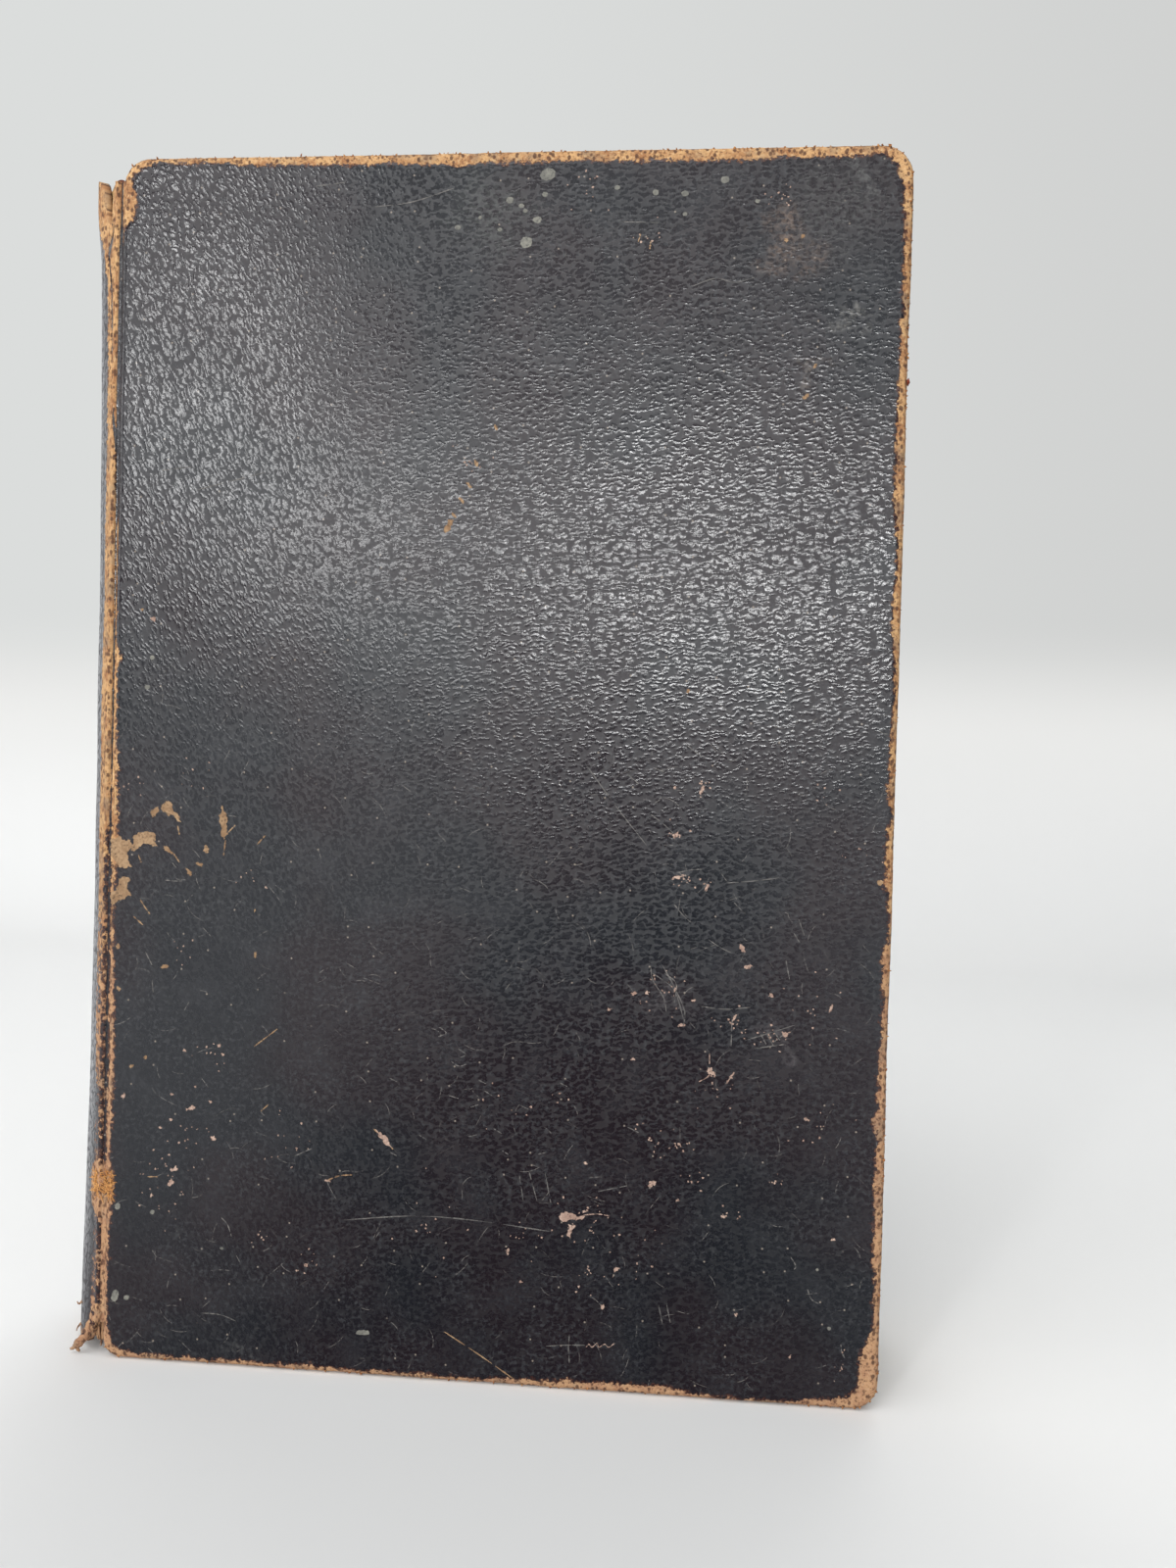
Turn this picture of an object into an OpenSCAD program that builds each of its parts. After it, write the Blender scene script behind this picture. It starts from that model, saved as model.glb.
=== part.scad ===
// Worn leather-bound book with a rounded spine, standing upright on its tail edges.
// The front cover faces -Y, the spine is at -X and the head is at +Z.
// The origin is at the middle of the underside.

/* [Covers] */
// Width of each cover, from the joint to the fore edge
cover_w = 140; // [110:1:180]
// Height of each cover
cover_h = 218; // [170:1:280]
// Radius of the two cover corners at the fore edge
fore_corner_r = 6.5; // [4:0.5:12]
// Radius of the two cover corners at the joint
joint_corner_r = 5; // [4:0.5:10]
// Thickness of the pasteboard inside each cover
board_t = 2; // [1.6:0.1:4]
// Thickness of the leather
leather_t = 0.8; // [0.5:0.1:1.2]
// Thickness of the pared leather that is turned in over the boards
turn_in_t = 0.4; // [0.3:0.05:0.7]
// Width of the leather that is turned in over the boards
turn_in_w = 14; // [8:1:24]
// Rounding of the covers' outer edges
outer_edge_r = 1.2; // [0.6:0.1:1.6]
// Rounding of the covers' inner edges
inner_edge_r = 0.6; // [0.3:0.1:0.8]

/* [Leaves] */
// Thickness of the sewn leaves
leaves_t = 26.6; // [20:0.2:50]
// How far the covers reach past the leaves at head, tail and fore edge
square_w = 4; // [2:0.5:7]
// Depth of the hollow along the fore edge
fore_edge_hollow = 5; // [2:0.5:8]
// Radius of the leaves' corners at the fore edge
leaf_corner_r = 6; // [2:0.5:12]
// Thickness of each flyleaf
flyleaf_t = 0.2; // [0.1:0.05:0.4]
// Thickness of the paper pasted inside each cover
pastedown_t = 0.25; // [0.1:0.05:0.3]

/* [Spine] */
// How far the rounded spine stands out past the joints
spine_round = 9.5; // [6:0.5:12]
// How far the leather at the head of the spine ends below the covers' head
head_loss = 1.5; // [0.5:0.5:4]
// How far the leather at the tail of the spine ends above the covers' tail
tail_loss = 0.6; // [0.4:0.2:3]
// Radius of the ridge of leather along each shoulder
ridge_r = 0.7; // [0.6:0.05:1]
// How deep the spine leather dips into each joint
joint_depth = 1.2; // [1:0.1:2]
// Thickness of the card that lines the spine
liner_t = 0.4; // [0.3:0.1:0.8]
// Thickness of the open cloth glued over the sewing
mull_t = 0.3; // [0.2:0.1:0.6]
// Thickness of the linen tapes that the leaves are sewn on
tape_t = 0.3; // [0.2:0.1:0.6]
// Width of each tape
tape_w = 12; // [6:1:20]
// Number of tapes
tape_count = 4; // [2:1:5]
// Diameter of the headband and tailband beads
band_d = 2.4; // [1.6:0.1:3]
// Height of the cloth that holds each band to the spine
band_cloth_h = 8; // [4:1:14]

/* [Tears] */
// Length of the tear along the front joint at the head
head_tear_l = 14; // [6:1:30]
// Width of the same tear at its mouth
head_tear_w = 2.6; // [1:0.2:4]
// Length of the tear along the front joint at the tail
tail_tear_l = 7.5; // [4:0.5:20]
// Width of the same tear at its mouth
tail_tear_w = 4.6; // [2:0.2:6]
// Length of the strip of leather that hangs loose at the tail tear
flap_l = 7; // [4:0.5:7.5]
// Width of the loose strip
flap_w = 1.8; // [1:0.2:2.4]
// Angle at which the loose strip stands away from the spine
flap_lean = 35; // [15:1:50]

/* [Clearances] */
// Gap between each cover and the spine leather at the joint
joint_gap = 0.3; // [0.2:0.1:1]
// Gap between each cover and the flyleaf inside it
leaf_gap = 0.3; // [0.2:0.1:1]
// How far the spine's shoulders lie below the covers' outer faces
shoulder_drop = 0.4; // [0.3:0.1:1.5]
// Film of glue between layers
glue = 0.05; // [0.02:0.01:0.1]

/* [Hidden] */
$fn = 96;

// A length that reaches past whatever it cuts
past = 1;

// Cover layers, measured from the face inside the book
cover_t = turn_in_t + board_t + leather_t;
half_t = leaves_t / 2 + flyleaf_t + leaf_gap + cover_t;
inner_face_y = half_t - cover_t;

// Places along X, with the whole book centred
joint_x = -(cover_w - joint_gap - spine_round) / 2;
shoulder_x = joint_x - joint_gap;
fore_x = joint_x + cover_w;
leaf_x = fore_x - square_w;

// The middle of the spine leather is an arc through the tip of the round and both ridges
ridge_y = half_t - shoulder_drop - ridge_r;
ridge_x = shoulder_x - ridge_r;
sagitta = spine_round - ridge_r - leather_t / 2;
middle_r = (sagitta * sagitta + ridge_y * ridge_y) / (2 * sagitta);
spine_r = middle_r + leather_t / 2;
spine_x = shoulder_x - spine_round + spine_r;
spine_half_angle = asin(ridge_y / middle_r);
// The lip lies this far inside the ridge's own edge
lip_inset = ridge_r / 8;
spine_z0 = tail_loss;
spine_z1 = cover_h - head_loss;

// The linings stop this far short of the ridges, measured round the spine
lining_stop = 2 * ridge_r;

// Radii of the layers under the spine leather, each from its outside
liner_r = spine_r - leather_t - glue;
mull_r = liner_r - liner_t - glue;
tape_r = mull_r - mull_t - glue;
leaves_r = tape_r - tape_t - glue;
lining_half_angle = spine_half_angle - lining_stop / middle_r * 180 / PI;

// Leaves
leaves_z0 = square_w;
leaves_h = cover_h - 2 * square_w;
leaves_z1 = leaves_z0 + leaves_h;
fore_edge_r = (pow(leaves_t / 2, 2) + pow(fore_edge_hollow, 2)) / (2 * fore_edge_hollow);
lining_inset = band_cloth_h + 1;
band_r = band_d / 2;

LEATHER = [0.16, 0.16, 0.17];
PAPER = [0.86, 0.80, 0.66];
ENDPAPER = [0.80, 0.73, 0.58];
BOARD = [0.55, 0.46, 0.35];
CLOTH = [0.82, 0.79, 0.70];
CARD = [0.62, 0.50, 0.36];
THREAD = [0.66, 0.30, 0.24];

// Shared shapes

// Quarter of a disc in the corner between +X and +Y
module quarter_disc(r) {
    intersection() {
        circle(r);
        square(r);
    }
}

// Section through a cover's edge: flat to the left, rounded at the right
module edge_section(width) {
    square([width - outer_edge_r, cover_t]);
    square([width - inner_edge_r, cover_t - outer_edge_r]);
    translate([0, inner_edge_r])
        square([width, cover_t - outer_edge_r - inner_edge_r]);
    translate([width - outer_edge_r, cover_t - outer_edge_r])
        quarter_disc(outer_edge_r);
    translate([width - inner_edge_r, inner_edge_r])
        mirror([0, 1])
            quarter_disc(inner_edge_r);
}

// Section right across a cover, rounded at both ends
module whole_section(length) {
    translate([length / 2, 0])
        edge_section(length / 2);
    translate([length / 2, 0])
        mirror([1, 0])
            edge_section(length / 2);
}

// Rounded corner of a cover, about its own centre, turned to its place by angle
module soft_corner(x, y, r, angle) {
    translate([x, y, 0])
        rotate([0, 0, angle])
            rotate_extrude(angle = 90)
                edge_section(r);
}

// Straight side of a cover that runs along +Y with its rounded edge at +X
module soft_side(width, length) {
    translate([0, length, 0])
        rotate([90, 0, 0])
            linear_extrude(length)
                edge_section(width);
}

// Whole outside of a cover, lying with its outer face up and its joint at x = 0
module soft_cover() {
    near = joint_corner_r;
    far = fore_corner_r;
    translate([near, 0, 0])
        rotate([90, 0, 90])
            linear_extrude(cover_w - near - far)
                whole_section(cover_h);
    translate([near, cover_h - near, 0])
        rotate([0, 0, 180])
            soft_side(near, cover_h - 2 * near);
    translate([cover_w - far, far, 0])
        soft_side(far, cover_h - 2 * far);
    soft_corner(near, near, near, 180);
    soft_corner(near, cover_h - near, near, 90);
    soft_corner(cover_w - far, far, far, 270);
    soft_corner(cover_w - far, cover_h - far, far, 0);
}

// Rounded rectangle with its own radius at the left and right corners
module plate_outline(w, h, near, far) {
    translate([near, 0])
        square([w - near - far, h]);
    translate([0, near])
        square([near, h - 2 * near]);
    translate([w - far, far])
        square([far, h - 2 * far]);
    for (top = [0, 1])
        translate([0, top * h])
            mirror([0, top]) {
                translate([near, near])
                    rotate(180)
                        quarter_disc(near);
                translate([w - far, far])
                    rotate(270)
                        quarter_disc(far);
            }
}

// The room inside a cover's leather, made smaller all round by clear
module board_shape(clear) {
    wrap = leather_t + clear;
    translate([wrap, wrap, turn_in_t])
        linear_extrude(board_t - clear)
            plate_outline(cover_w - 2 * wrap, cover_h - 2 * wrap,
                joint_corner_r - wrap, fore_corner_r - wrap);
}

// The opening that the turned-in leather leaves, made smaller all round by clear
module turn_in_window(clear, z0, z1) {
    translate([leather_t + clear, turn_in_w + clear, z0])
        cube([cover_w - leather_t - turn_in_w - 2 * clear, cover_h - 2 * (turn_in_w + clear), z1 - z0]);
}

// Stands a cover up as the front cover
module as_front() {
    translate([joint_x, -inner_face_y, 0])
        rotate([90, 0, 0])
            children();
}

// The back of the book mirrors the front
module as_back() {
    mirror([0, 1, 0])
        as_front()
            children();
}

// Upright strip that bends around an axis at radius r measured to its outside
module bent_strip(r, thickness, from, angle, z0, z1) {
    rotate([0, 0, from])
        rotate_extrude(angle = angle)
            translate([r - thickness, z0])
                square([thickness, z1 - z0]);
}

// Layer on the round of the spine
module spine_layer(r, thickness, half_angle, z0, z1) {
    translate([spine_x, 0, 0])
        bent_strip(r, thickness, 180 - half_angle, 2 * half_angle, z0, z1);
}

// Outline of a leaf from the side, with its outer corners rounded
module leaf_outline(x0) {
    translate([x0, leaves_z0])
        square([leaf_x - leaf_corner_r - x0, leaves_h]);
    translate([leaf_x - leaf_corner_r, leaves_z0 + leaf_corner_r])
        square([leaf_corner_r, leaves_h - 2 * leaf_corner_r]);
    translate([leaf_x - leaf_corner_r, leaves_z0 + leaf_corner_r])
        rotate(270)
            quarter_disc(leaf_corner_r);
    translate([leaf_x - leaf_corner_r, leaves_z1 - leaf_corner_r])
        quarter_disc(leaf_corner_r);
}

// Slab in the outline of the leaves, between y0 and y1
module leaf_slab(x0, y0, y1) {
    translate([0, y1, 0])
        rotate([90, 0, 0])
            linear_extrude(y1 - y0)
                leaf_outline(x0);
}

// Text block

// Section of the leaves from above: rounded back with shoulders, hollow fore edge
module leaves_section() {
    difference() {
        union() {
            translate([spine_x, -leaves_t / 2])
                square([leaf_x - spine_x, leaves_t]);
            intersection() {
                translate([spine_x, 0])
                    circle(leaves_r);
                union() {
                    translate([spine_x - leaves_r, -leaves_t / 2])
                        square([leaves_r, leaves_t]);
                    translate([spine_x - leaves_r, -leaves_r])
                        square([ridge_x - spine_x + leaves_r, 2 * leaves_r]);
                }
            }
        }
        translate([leaf_x - fore_edge_hollow + fore_edge_r, 0])
            circle(fore_edge_r);
    }
}

module text_block() {
    color(PAPER)
        intersection() {
            translate([0, 0, leaves_z0])
                linear_extrude(leaves_h)
                    leaves_section();
            leaf_slab(spine_x - spine_r, -half_t, half_t);
        }
}

module front_flyleaf() {
    color(ENDPAPER)
        leaf_slab(joint_x, -leaves_t / 2 - flyleaf_t, -leaves_t / 2);
}

module back_flyleaf() {
    color(ENDPAPER)
        leaf_slab(joint_x, leaves_t / 2, leaves_t / 2 + flyleaf_t);
}

// Spine

module sewing_tapes() {
    pitch = leaves_h / (tape_count + 1);
    color(CLOTH)
        for (i = [1 : tape_count]) {
            middle = leaves_z0 + i * pitch;
            spine_layer(tape_r, tape_t, lining_half_angle, middle - tape_w / 2, middle + tape_w / 2);
        }
}

module mull() {
    color(CLOTH)
        spine_layer(mull_r, mull_t, lining_half_angle, leaves_z0 + lining_inset, leaves_z1 - lining_inset);
}

module spine_liner() {
    color(CARD)
        spine_layer(liner_r, liner_t, lining_half_angle, leaves_z0, leaves_z1);
}

// Bead on the edge of the leaves with the cloth that holds it, drawn for the head at z = 0
module end_band() {
    bead_half_angle = lining_half_angle - lining_stop / middle_r * 180 / PI;
    translate([spine_x, 0, 0])
        rotate([0, 0, 180 - bead_half_angle])
            rotate_extrude(angle = 2 * bead_half_angle)
                translate([leaves_r - band_r / 2, band_r + glue])
                    circle(band_r, $fn = 32);
    spine_layer(tape_r, tape_t, bead_half_angle, -band_cloth_h, band_r);
}

module headband() {
    color(THREAD)
        translate([0, 0, leaves_z1])
            end_band();
}

module tailband() {
    color(THREAD)
        translate([0, 0, leaves_z0])
            mirror([0, 0, 1])
                end_band();
}

// Section of the spine leather: an arc between two ridges, each with a lip that dips into its joint
module spine_section() {
    intersection() {
        translate([spine_x, 0])
            difference() {
                circle(spine_r);
                circle(spine_r - leather_t);
            }
        translate([spine_x - spine_r - past, -half_t])
            square([ridge_x - spine_x + spine_r + past, 2 * half_t]);
    }
    for (side = [0, 1])
        mirror([0, side]) {
            translate([ridge_x, ridge_y])
                circle(ridge_r, $fn = 32);
            translate([ridge_x, ridge_y - joint_depth])
                square([ridge_r - lip_inset, joint_depth]);
        }
}

// Wedge that opens along the front joint from the mouth at z_mouth to the tip at z_tip
module joint_tear(z_mouth, z_tip, width) {
    right = shoulder_x + past;
    translate([0, -half_t / 2, 0])
        rotate([90, 0, 0])
            linear_extrude(half_t)
                polygon([[shoulder_x - width, z_mouth], [right, z_mouth], [right, z_tip]]);
}

// Strip of leather that has torn off the shoulder and leans out to the left
module loose_flap() {
    translate([ridge_x, -ridge_y - ridge_r, tail_tear_l + flap_w])
        rotate([0, flap_lean, 0])
            translate([-flap_w / 2, ridge_r / 5, -flap_l])
                cube([flap_w, leather_t, flap_l]);
}

module spine_leather() {
    color(LEATHER) {
        difference() {
            translate([0, 0, spine_z0])
                linear_extrude(spine_z1 - spine_z0)
                    spine_section();
            joint_tear(spine_z1 + past, spine_z1 - head_tear_l, head_tear_w);
            joint_tear(spine_z0 - past, tail_tear_l, tail_tear_w);
        }
        loose_flap();
    }
}

// Covers

module cover_board() {
    color(BOARD)
        board_shape(glue);
}

module cover_leather() {
    color(LEATHER)
        difference() {
            soft_cover();
            board_shape(0);
            turn_in_window(0, -past, turn_in_t + glue);
        }
}

module cover_pastedown() {
    color(ENDPAPER)
        turn_in_window(glue, turn_in_t - pastedown_t, turn_in_t);
}

module front_board() {
    as_front() cover_board();
}

module front_leather() {
    as_front() cover_leather();
}

module front_pastedown() {
    as_front() cover_pastedown();
}

module back_board() {
    as_back() cover_board();
}

module back_leather() {
    as_back() cover_leather();
}

module back_pastedown() {
    as_back() cover_pastedown();
}

text_block();
front_flyleaf();
back_flyleaf();
sewing_tapes();
mull();
spine_liner();
headband();
tailband();
spine_leather();
front_board();
front_leather();
front_pastedown();
back_board();
back_leather();
back_pastedown();
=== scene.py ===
"""Looks of a worn leather-bound book: leather, torn spine, leaves, bands, paper, light and camera."""

import math
import random

import bmesh
import bpy
import numpy as np
from mathutils import Matrix, Vector, noise


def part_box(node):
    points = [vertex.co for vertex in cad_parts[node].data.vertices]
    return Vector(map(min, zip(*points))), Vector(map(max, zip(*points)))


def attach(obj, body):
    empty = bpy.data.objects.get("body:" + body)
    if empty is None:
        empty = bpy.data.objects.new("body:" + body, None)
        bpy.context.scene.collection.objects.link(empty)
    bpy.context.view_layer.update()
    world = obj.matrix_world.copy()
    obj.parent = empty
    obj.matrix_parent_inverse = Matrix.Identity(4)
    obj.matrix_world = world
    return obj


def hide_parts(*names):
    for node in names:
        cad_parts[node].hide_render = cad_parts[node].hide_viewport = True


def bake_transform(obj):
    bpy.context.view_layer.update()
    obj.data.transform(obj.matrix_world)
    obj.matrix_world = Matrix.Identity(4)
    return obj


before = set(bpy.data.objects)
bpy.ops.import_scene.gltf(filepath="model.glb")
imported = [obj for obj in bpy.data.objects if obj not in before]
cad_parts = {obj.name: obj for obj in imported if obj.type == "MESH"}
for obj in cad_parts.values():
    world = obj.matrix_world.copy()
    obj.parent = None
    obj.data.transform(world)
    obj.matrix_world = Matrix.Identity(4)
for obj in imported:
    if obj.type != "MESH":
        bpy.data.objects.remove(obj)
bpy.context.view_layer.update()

# Units: lengths in this script are millimetres, and Blender's are metres
MM = 0.001

# Seeds of the random draws and of the covers' relief
SPINE_SEED = 11
LEAF_SEED = 5
MARK_SEED = 23
FRONT_FRAY_SEED = 31
BACK_FRAY_SEED = 37
COVER_FIBRE_SEED = 41
SPINE_FIBRE_SEED = 43
FRONT_RELIEF_SEED = 1.0
BACK_RELIEF_SEED = 5.0


def box_mm(node):
    """Lowest and highest corner of a CAD node, in millimetres."""
    low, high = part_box(node)
    return low / MM, high / MM


# Covers, from the frame and the leather's own roundings
cover_low, cover_high = box_mm("front_leather")
JOINT_X = cover_low.x
OUTER_Y = -cover_low.y
INNER_Y = -cover_high.y
COVER_W = cover_high.x - cover_low.x
COVER_H = cover_high.z - cover_low.z
COVER_T = OUTER_Y - INNER_Y
# Corners from the joint's tail corner, round by the fore edge, to the joint's head corner
CORNER_R = (3.4, 4.6, 5.6, 5.0)
OUTER_EDGE_R = 1.2
INNER_EDGE_R = 0.6
LEATHER_T = 0.8
TURN_IN_T = 0.4
TURN_IN_W = 14.0

# Spine leather: an arc between two ridges
spine_low, spine_high = box_mm("spine_leather")
RIDGE_R = 0.7
RIDGE_X = spine_high.x - RIDGE_R
RIDGE_Y = spine_high.y - RIDGE_R
LIP_DEPTH = 1.2
LIP_X = RIDGE_X + RIDGE_R * 7 / 8
SPINE_SAGITTA = RIDGE_X - spine_low.x - LEATHER_T / 2
SPINE_MIDDLE_R = (SPINE_SAGITTA ** 2 + RIDGE_Y ** 2) / (2 * SPINE_SAGITTA)
SPINE_R = SPINE_MIDDLE_R + LEATHER_T / 2
SPINE_X = spine_low.x + SPINE_R
SPINE_Z0 = spine_low.z
SPINE_Z1 = spine_high.z

# Leaves
leaves_low, leaves_high = box_mm("text_block")
fly_low, fly_high = box_mm("front_flyleaf")
LEAF_X = leaves_high.x
LEAVES_Z0 = leaves_low.z
LEAVES_Z1 = leaves_high.z
LEAVES_HALF_T = -fly_high.y
FLYLEAF_Y = -fly_low.y
LEAVES_R = SPINE_X - leaves_low.x
LEAF_CORNER_R = 6.0
FORE_HOLLOW = 5.0
FORE_EDGE_R = (LEAVES_HALF_T ** 2 + FORE_HOLLOW ** 2) / (2 * FORE_HOLLOW)

# Head and tail bands
BAND_R = 1.2
BAND_GLUE = 0.05
_, band_high = box_mm("headband")
BAND_HALF_ANGLE = math.asin(band_high.y / (LEAVES_R + BAND_R / 2))

# Camera, fitted to the outline of the cover's rounded edges in the photograph
PHOTO_W = 1200
PHOTO_H = 1600
LENS = 26.0
SENSOR = 36.0
CAMERA_PLACE = Vector((37.96, -214.58, 110.74))
CAMERA_YAW = math.radians(4.683)
CAMERA_PITCH = math.radians(-0.951)
CAMERA_ROLL = math.radians(1.465)


def camera_axes():
    """Right, up and forward of the camera."""
    forward = Vector((
        -math.sin(CAMERA_YAW) * math.cos(CAMERA_PITCH),
        math.cos(CAMERA_YAW) * math.cos(CAMERA_PITCH),
        math.sin(CAMERA_PITCH),
    ))
    level = forward.cross(Vector((0, 0, 1))).normalized()
    upright = level.cross(forward)
    right = math.cos(CAMERA_ROLL) * level + math.sin(CAMERA_ROLL) * upright
    up = math.cos(CAMERA_ROLL) * upright - math.sin(CAMERA_ROLL) * level
    return right, up, forward


def on_cover(px, py):
    """Place on the front cover, from the joint and from the tail, that a pixel of the photograph shows."""
    right, up, forward = camera_axes()
    focal = LENS / SENSOR * PHOTO_H
    ray = forward * focal + right * (px - PHOTO_W / 2) + up * (PHOTO_H / 2 - py)
    point = CAMERA_PLACE + ray * ((-OUTER_Y - CAMERA_PLACE.y) / ray.y)
    return Vector((point.x - JOINT_X, point.z))


# Size of a pixel on the cover, measured across the middle of the photograph
PIXEL_SPAN = 40
SPAN_LEFT = (580, 800)
SPAN_RIGHT = (SPAN_LEFT[0] + PIXEL_SPAN, SPAN_LEFT[1])
PIXEL = (on_cover(*SPAN_RIGHT) - on_cover(*SPAN_LEFT)).length / PIXEL_SPAN


# Small tools for shapes

def smooth(value, low, high):
    """0 below low, 1 above high, and a soft step between."""
    share = np.clip((np.asarray(value, float) - low) / (high - low), 0, 1)
    return share * share * (3 - 2 * share)


def waver(points, size, seed=0.0):
    """Smooth noise between -1 and 1 at each point, with bumps of about the given size."""
    shift = Vector((seed * 17.3, seed * 5.1, seed * 11.7))
    return np.array([noise.noise(Vector(p) / size + shift) for p in points])


def spread(pairs, places):
    """Values at places, read along a list of place and value pairs."""
    xs, ys = zip(*pairs)
    return np.interp(places, xs, ys)


def add_layer(mesh, name, values):
    """Stores one number or one vector for each vertex."""
    values = np.asarray(values, np.float32)
    if values.ndim == 1:
        layer = mesh.attributes.new(name, "FLOAT", "POINT")
        layer.data.foreach_set("value", values)
    else:
        layer = mesh.attributes.new(name, "FLOAT_VECTOR", "POINT")
        layer.data.foreach_set("vector", values.ravel())


def make_piece(name, points, faces, layers, material):
    """Closed mesh from points in millimetres, with its vertex layers, material and slot."""
    mesh = bpy.data.meshes.new(name)
    mesh.from_pydata([tuple(p) for p in np.asarray(points, float) * MM], [], faces)
    for layer, values in layers.items():
        add_layer(mesh, layer, values)
    shape = bmesh.new()
    shape.from_mesh(mesh)
    bmesh.ops.remove_doubles(shape, verts=shape.verts, dist=1e-7)
    bmesh.ops.recalc_face_normals(shape, faces=shape.faces)
    shape.to_mesh(mesh)
    shape.free()
    mesh.shade_smooth()
    mesh.materials.append(material)
    piece = bpy.data.objects.new(name, mesh)
    bpy.context.scene.collection.objects.link(piece)
    return piece


def ring_faces(rings, count):
    """Quads between rings of count points each."""
    return [
        (a * count + i, a * count + (i + 1) % count, (a + 1) * count + (i + 1) % count, (a + 1) * count + i)
        for a in range(rings - 1)
        for i in range(count)
    ]


def tube_faces(rings, count):
    """Quads between rings of count points each, and a face over each end."""
    last = (rings - 1) * count
    return ring_faces(rings, count) + [tuple(range(count)), tuple(range(last, last + count))]


def joined(parts):
    """One list of points and faces from several."""
    points, faces = [], []
    for part_points, part_faces in parts:
        base = len(points)
        points += [tuple(p) for p in part_points]
        faces += [tuple(base + i for i in face) for face in part_faces]
    return points, faces


# Materials

class Graph:
    """Short calls for the nodes of one material."""

    def __init__(self, name):
        self.material = bpy.data.materials.new(name)
        self.material.use_nodes = True
        self.tree = self.material.node_tree
        self.shader = self.tree.nodes["Principled BSDF"]

    def put(self, socket, value):
        """Links a socket, or sets its own value."""
        if isinstance(value, bpy.types.NodeSocket):
            self.tree.links.new(value, socket)
        else:
            socket.default_value = value

    def add(self, kind, inputs=None, **settings):
        """New node with its settings and inputs."""
        node = self.tree.nodes.new("ShaderNode" + kind)
        for key, value in settings.items():
            setattr(node, key, value)
        for key, value in (inputs or {}).items():
            self.put(node.inputs[key], value)
        return node

    def layer(self, name, output="Fac"):
        """Number or vector that the mesh stores for each vertex."""
        return self.add("Attribute", attribute_name=name).outputs[output]

    def math(self, operation, a, b=0.0, c=0.0):
        return self.add("Math", {0: a, 1: b, 2: c}, operation=operation).outputs[0]

    def vector(self, operation, a, b=(0, 0, 0), c=(0, 0, 0)):
        return self.add("VectorMath", {0: a, 1: b, 2: c}, operation=operation).outputs[0]

    def part(self, vector, axis):
        """X, Y or Z of a vector."""
        return self.add("SeparateXYZ", {0: vector}).outputs[axis]

    def place(self):
        """Coordinates of the piece, in millimetres."""
        return self.vector("MULTIPLY", self.add("TexCoord").outputs["Object"], (1 / MM,) * 3)

    def placed(self, vector, size, turn=0.0, centre=(0, 0, 0)):
        """Coordinates about a centre, turned, in units of size."""
        rotation = (0, 0, math.radians(turn))
        inputs = {"Vector": vector, "Location": centre, "Rotation": rotation, "Scale": size}
        return self.add("Mapping", inputs, vector_type="TEXTURE").outputs[0]

    def noise(self, vector, size, detail=2.0, roughness=0.5, output="Fac", flat=False):
        """Smooth noise with bumps of about the given size, in the plane or in space."""
        inputs = {"Vector": vector, "Scale": 1 / size, "Detail": detail, "Roughness": roughness}
        return self.add("TexNoise", inputs, noise_dimensions="2D" if flat else "3D").outputs[output]

    def cells(self, vector, flat=True):
        """Distance to the nearest of points scattered in the plane or in space, and its random colour."""
        dimensions = "2D" if flat else "3D"
        found = self.add("TexVoronoi", {"Vector": vector, "Scale": 1.0}, voronoi_dimensions=dimensions)
        return found.outputs["Distance"], found.outputs["Color"]

    def ramp(self, value, low, high, start=0.0, end=1.0):
        """Soft step from start at low to end at high."""
        inputs = {"Value": value, "From Min": low, "From Max": high, "To Min": start, "To Max": end}
        return self.add("MapRange", inputs, interpolation_type="SMOOTHSTEP").outputs[0]

    def mix(self, share, a, b):
        """Colour between a and b."""
        return self.add("Mix", {0: share, 6: a, 7: b}, data_type="RGBA").outputs[2]

    def blend(self, share, a, b):
        """Number between a and b."""
        return self.add("Mix", {0: share, 2: a, 3: b}, data_type="FLOAT").outputs[0]

    def bump(self, height, depth):
        """Turns a height of 0 to 1 into relief of the given depth in millimetres."""
        node = self.add("Bump", {"Height": height, "Distance": depth * MM, "Strength": 1.0})
        self.put(self.shader.inputs["Normal"], node.outputs[0])

    def finish(self, **values):
        """Sets the shader's own sockets and gives the material."""
        for key, value in values.items():
            self.put(self.shader.inputs[key.replace("_", " ").title().replace("Ior", "IOR")], value)
        return self.material


def srgb(red, green, blue):
    """Linear colour from a colour as a screen shows it."""
    def linear(level):
        level /= 255
        return level / 12.92 if level <= 0.04045 else ((level + 0.055) / 1.055) ** 2.4
    return (linear(red), linear(green), linear(blue), 1.0)


BLACK = srgb(22, 24, 29)
PLUM_BLACK = srgb(27, 20, 25)
# Grey of rubbed finish, also used as painted sheen on the pebble tops.
RUBBED_AND_SHEEN_GREY = srgb(54, 55, 58)
HAIRLINE = srgb(122, 118, 113)
PALE_SPECK = srgb(128, 118, 108)
RED_BROWN = srgb(76, 42, 32)
TAN = srgb(193, 151, 103)
DEEP_TAN = srgb(155, 109, 70)
PALE_TAN = srgb(200, 170, 130)
DIRTY_TAN = srgb(126, 109, 90)
PINK_TAN = srgb(162, 124, 102)
DARK_FIBRE = srgb(78, 51, 38)


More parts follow.
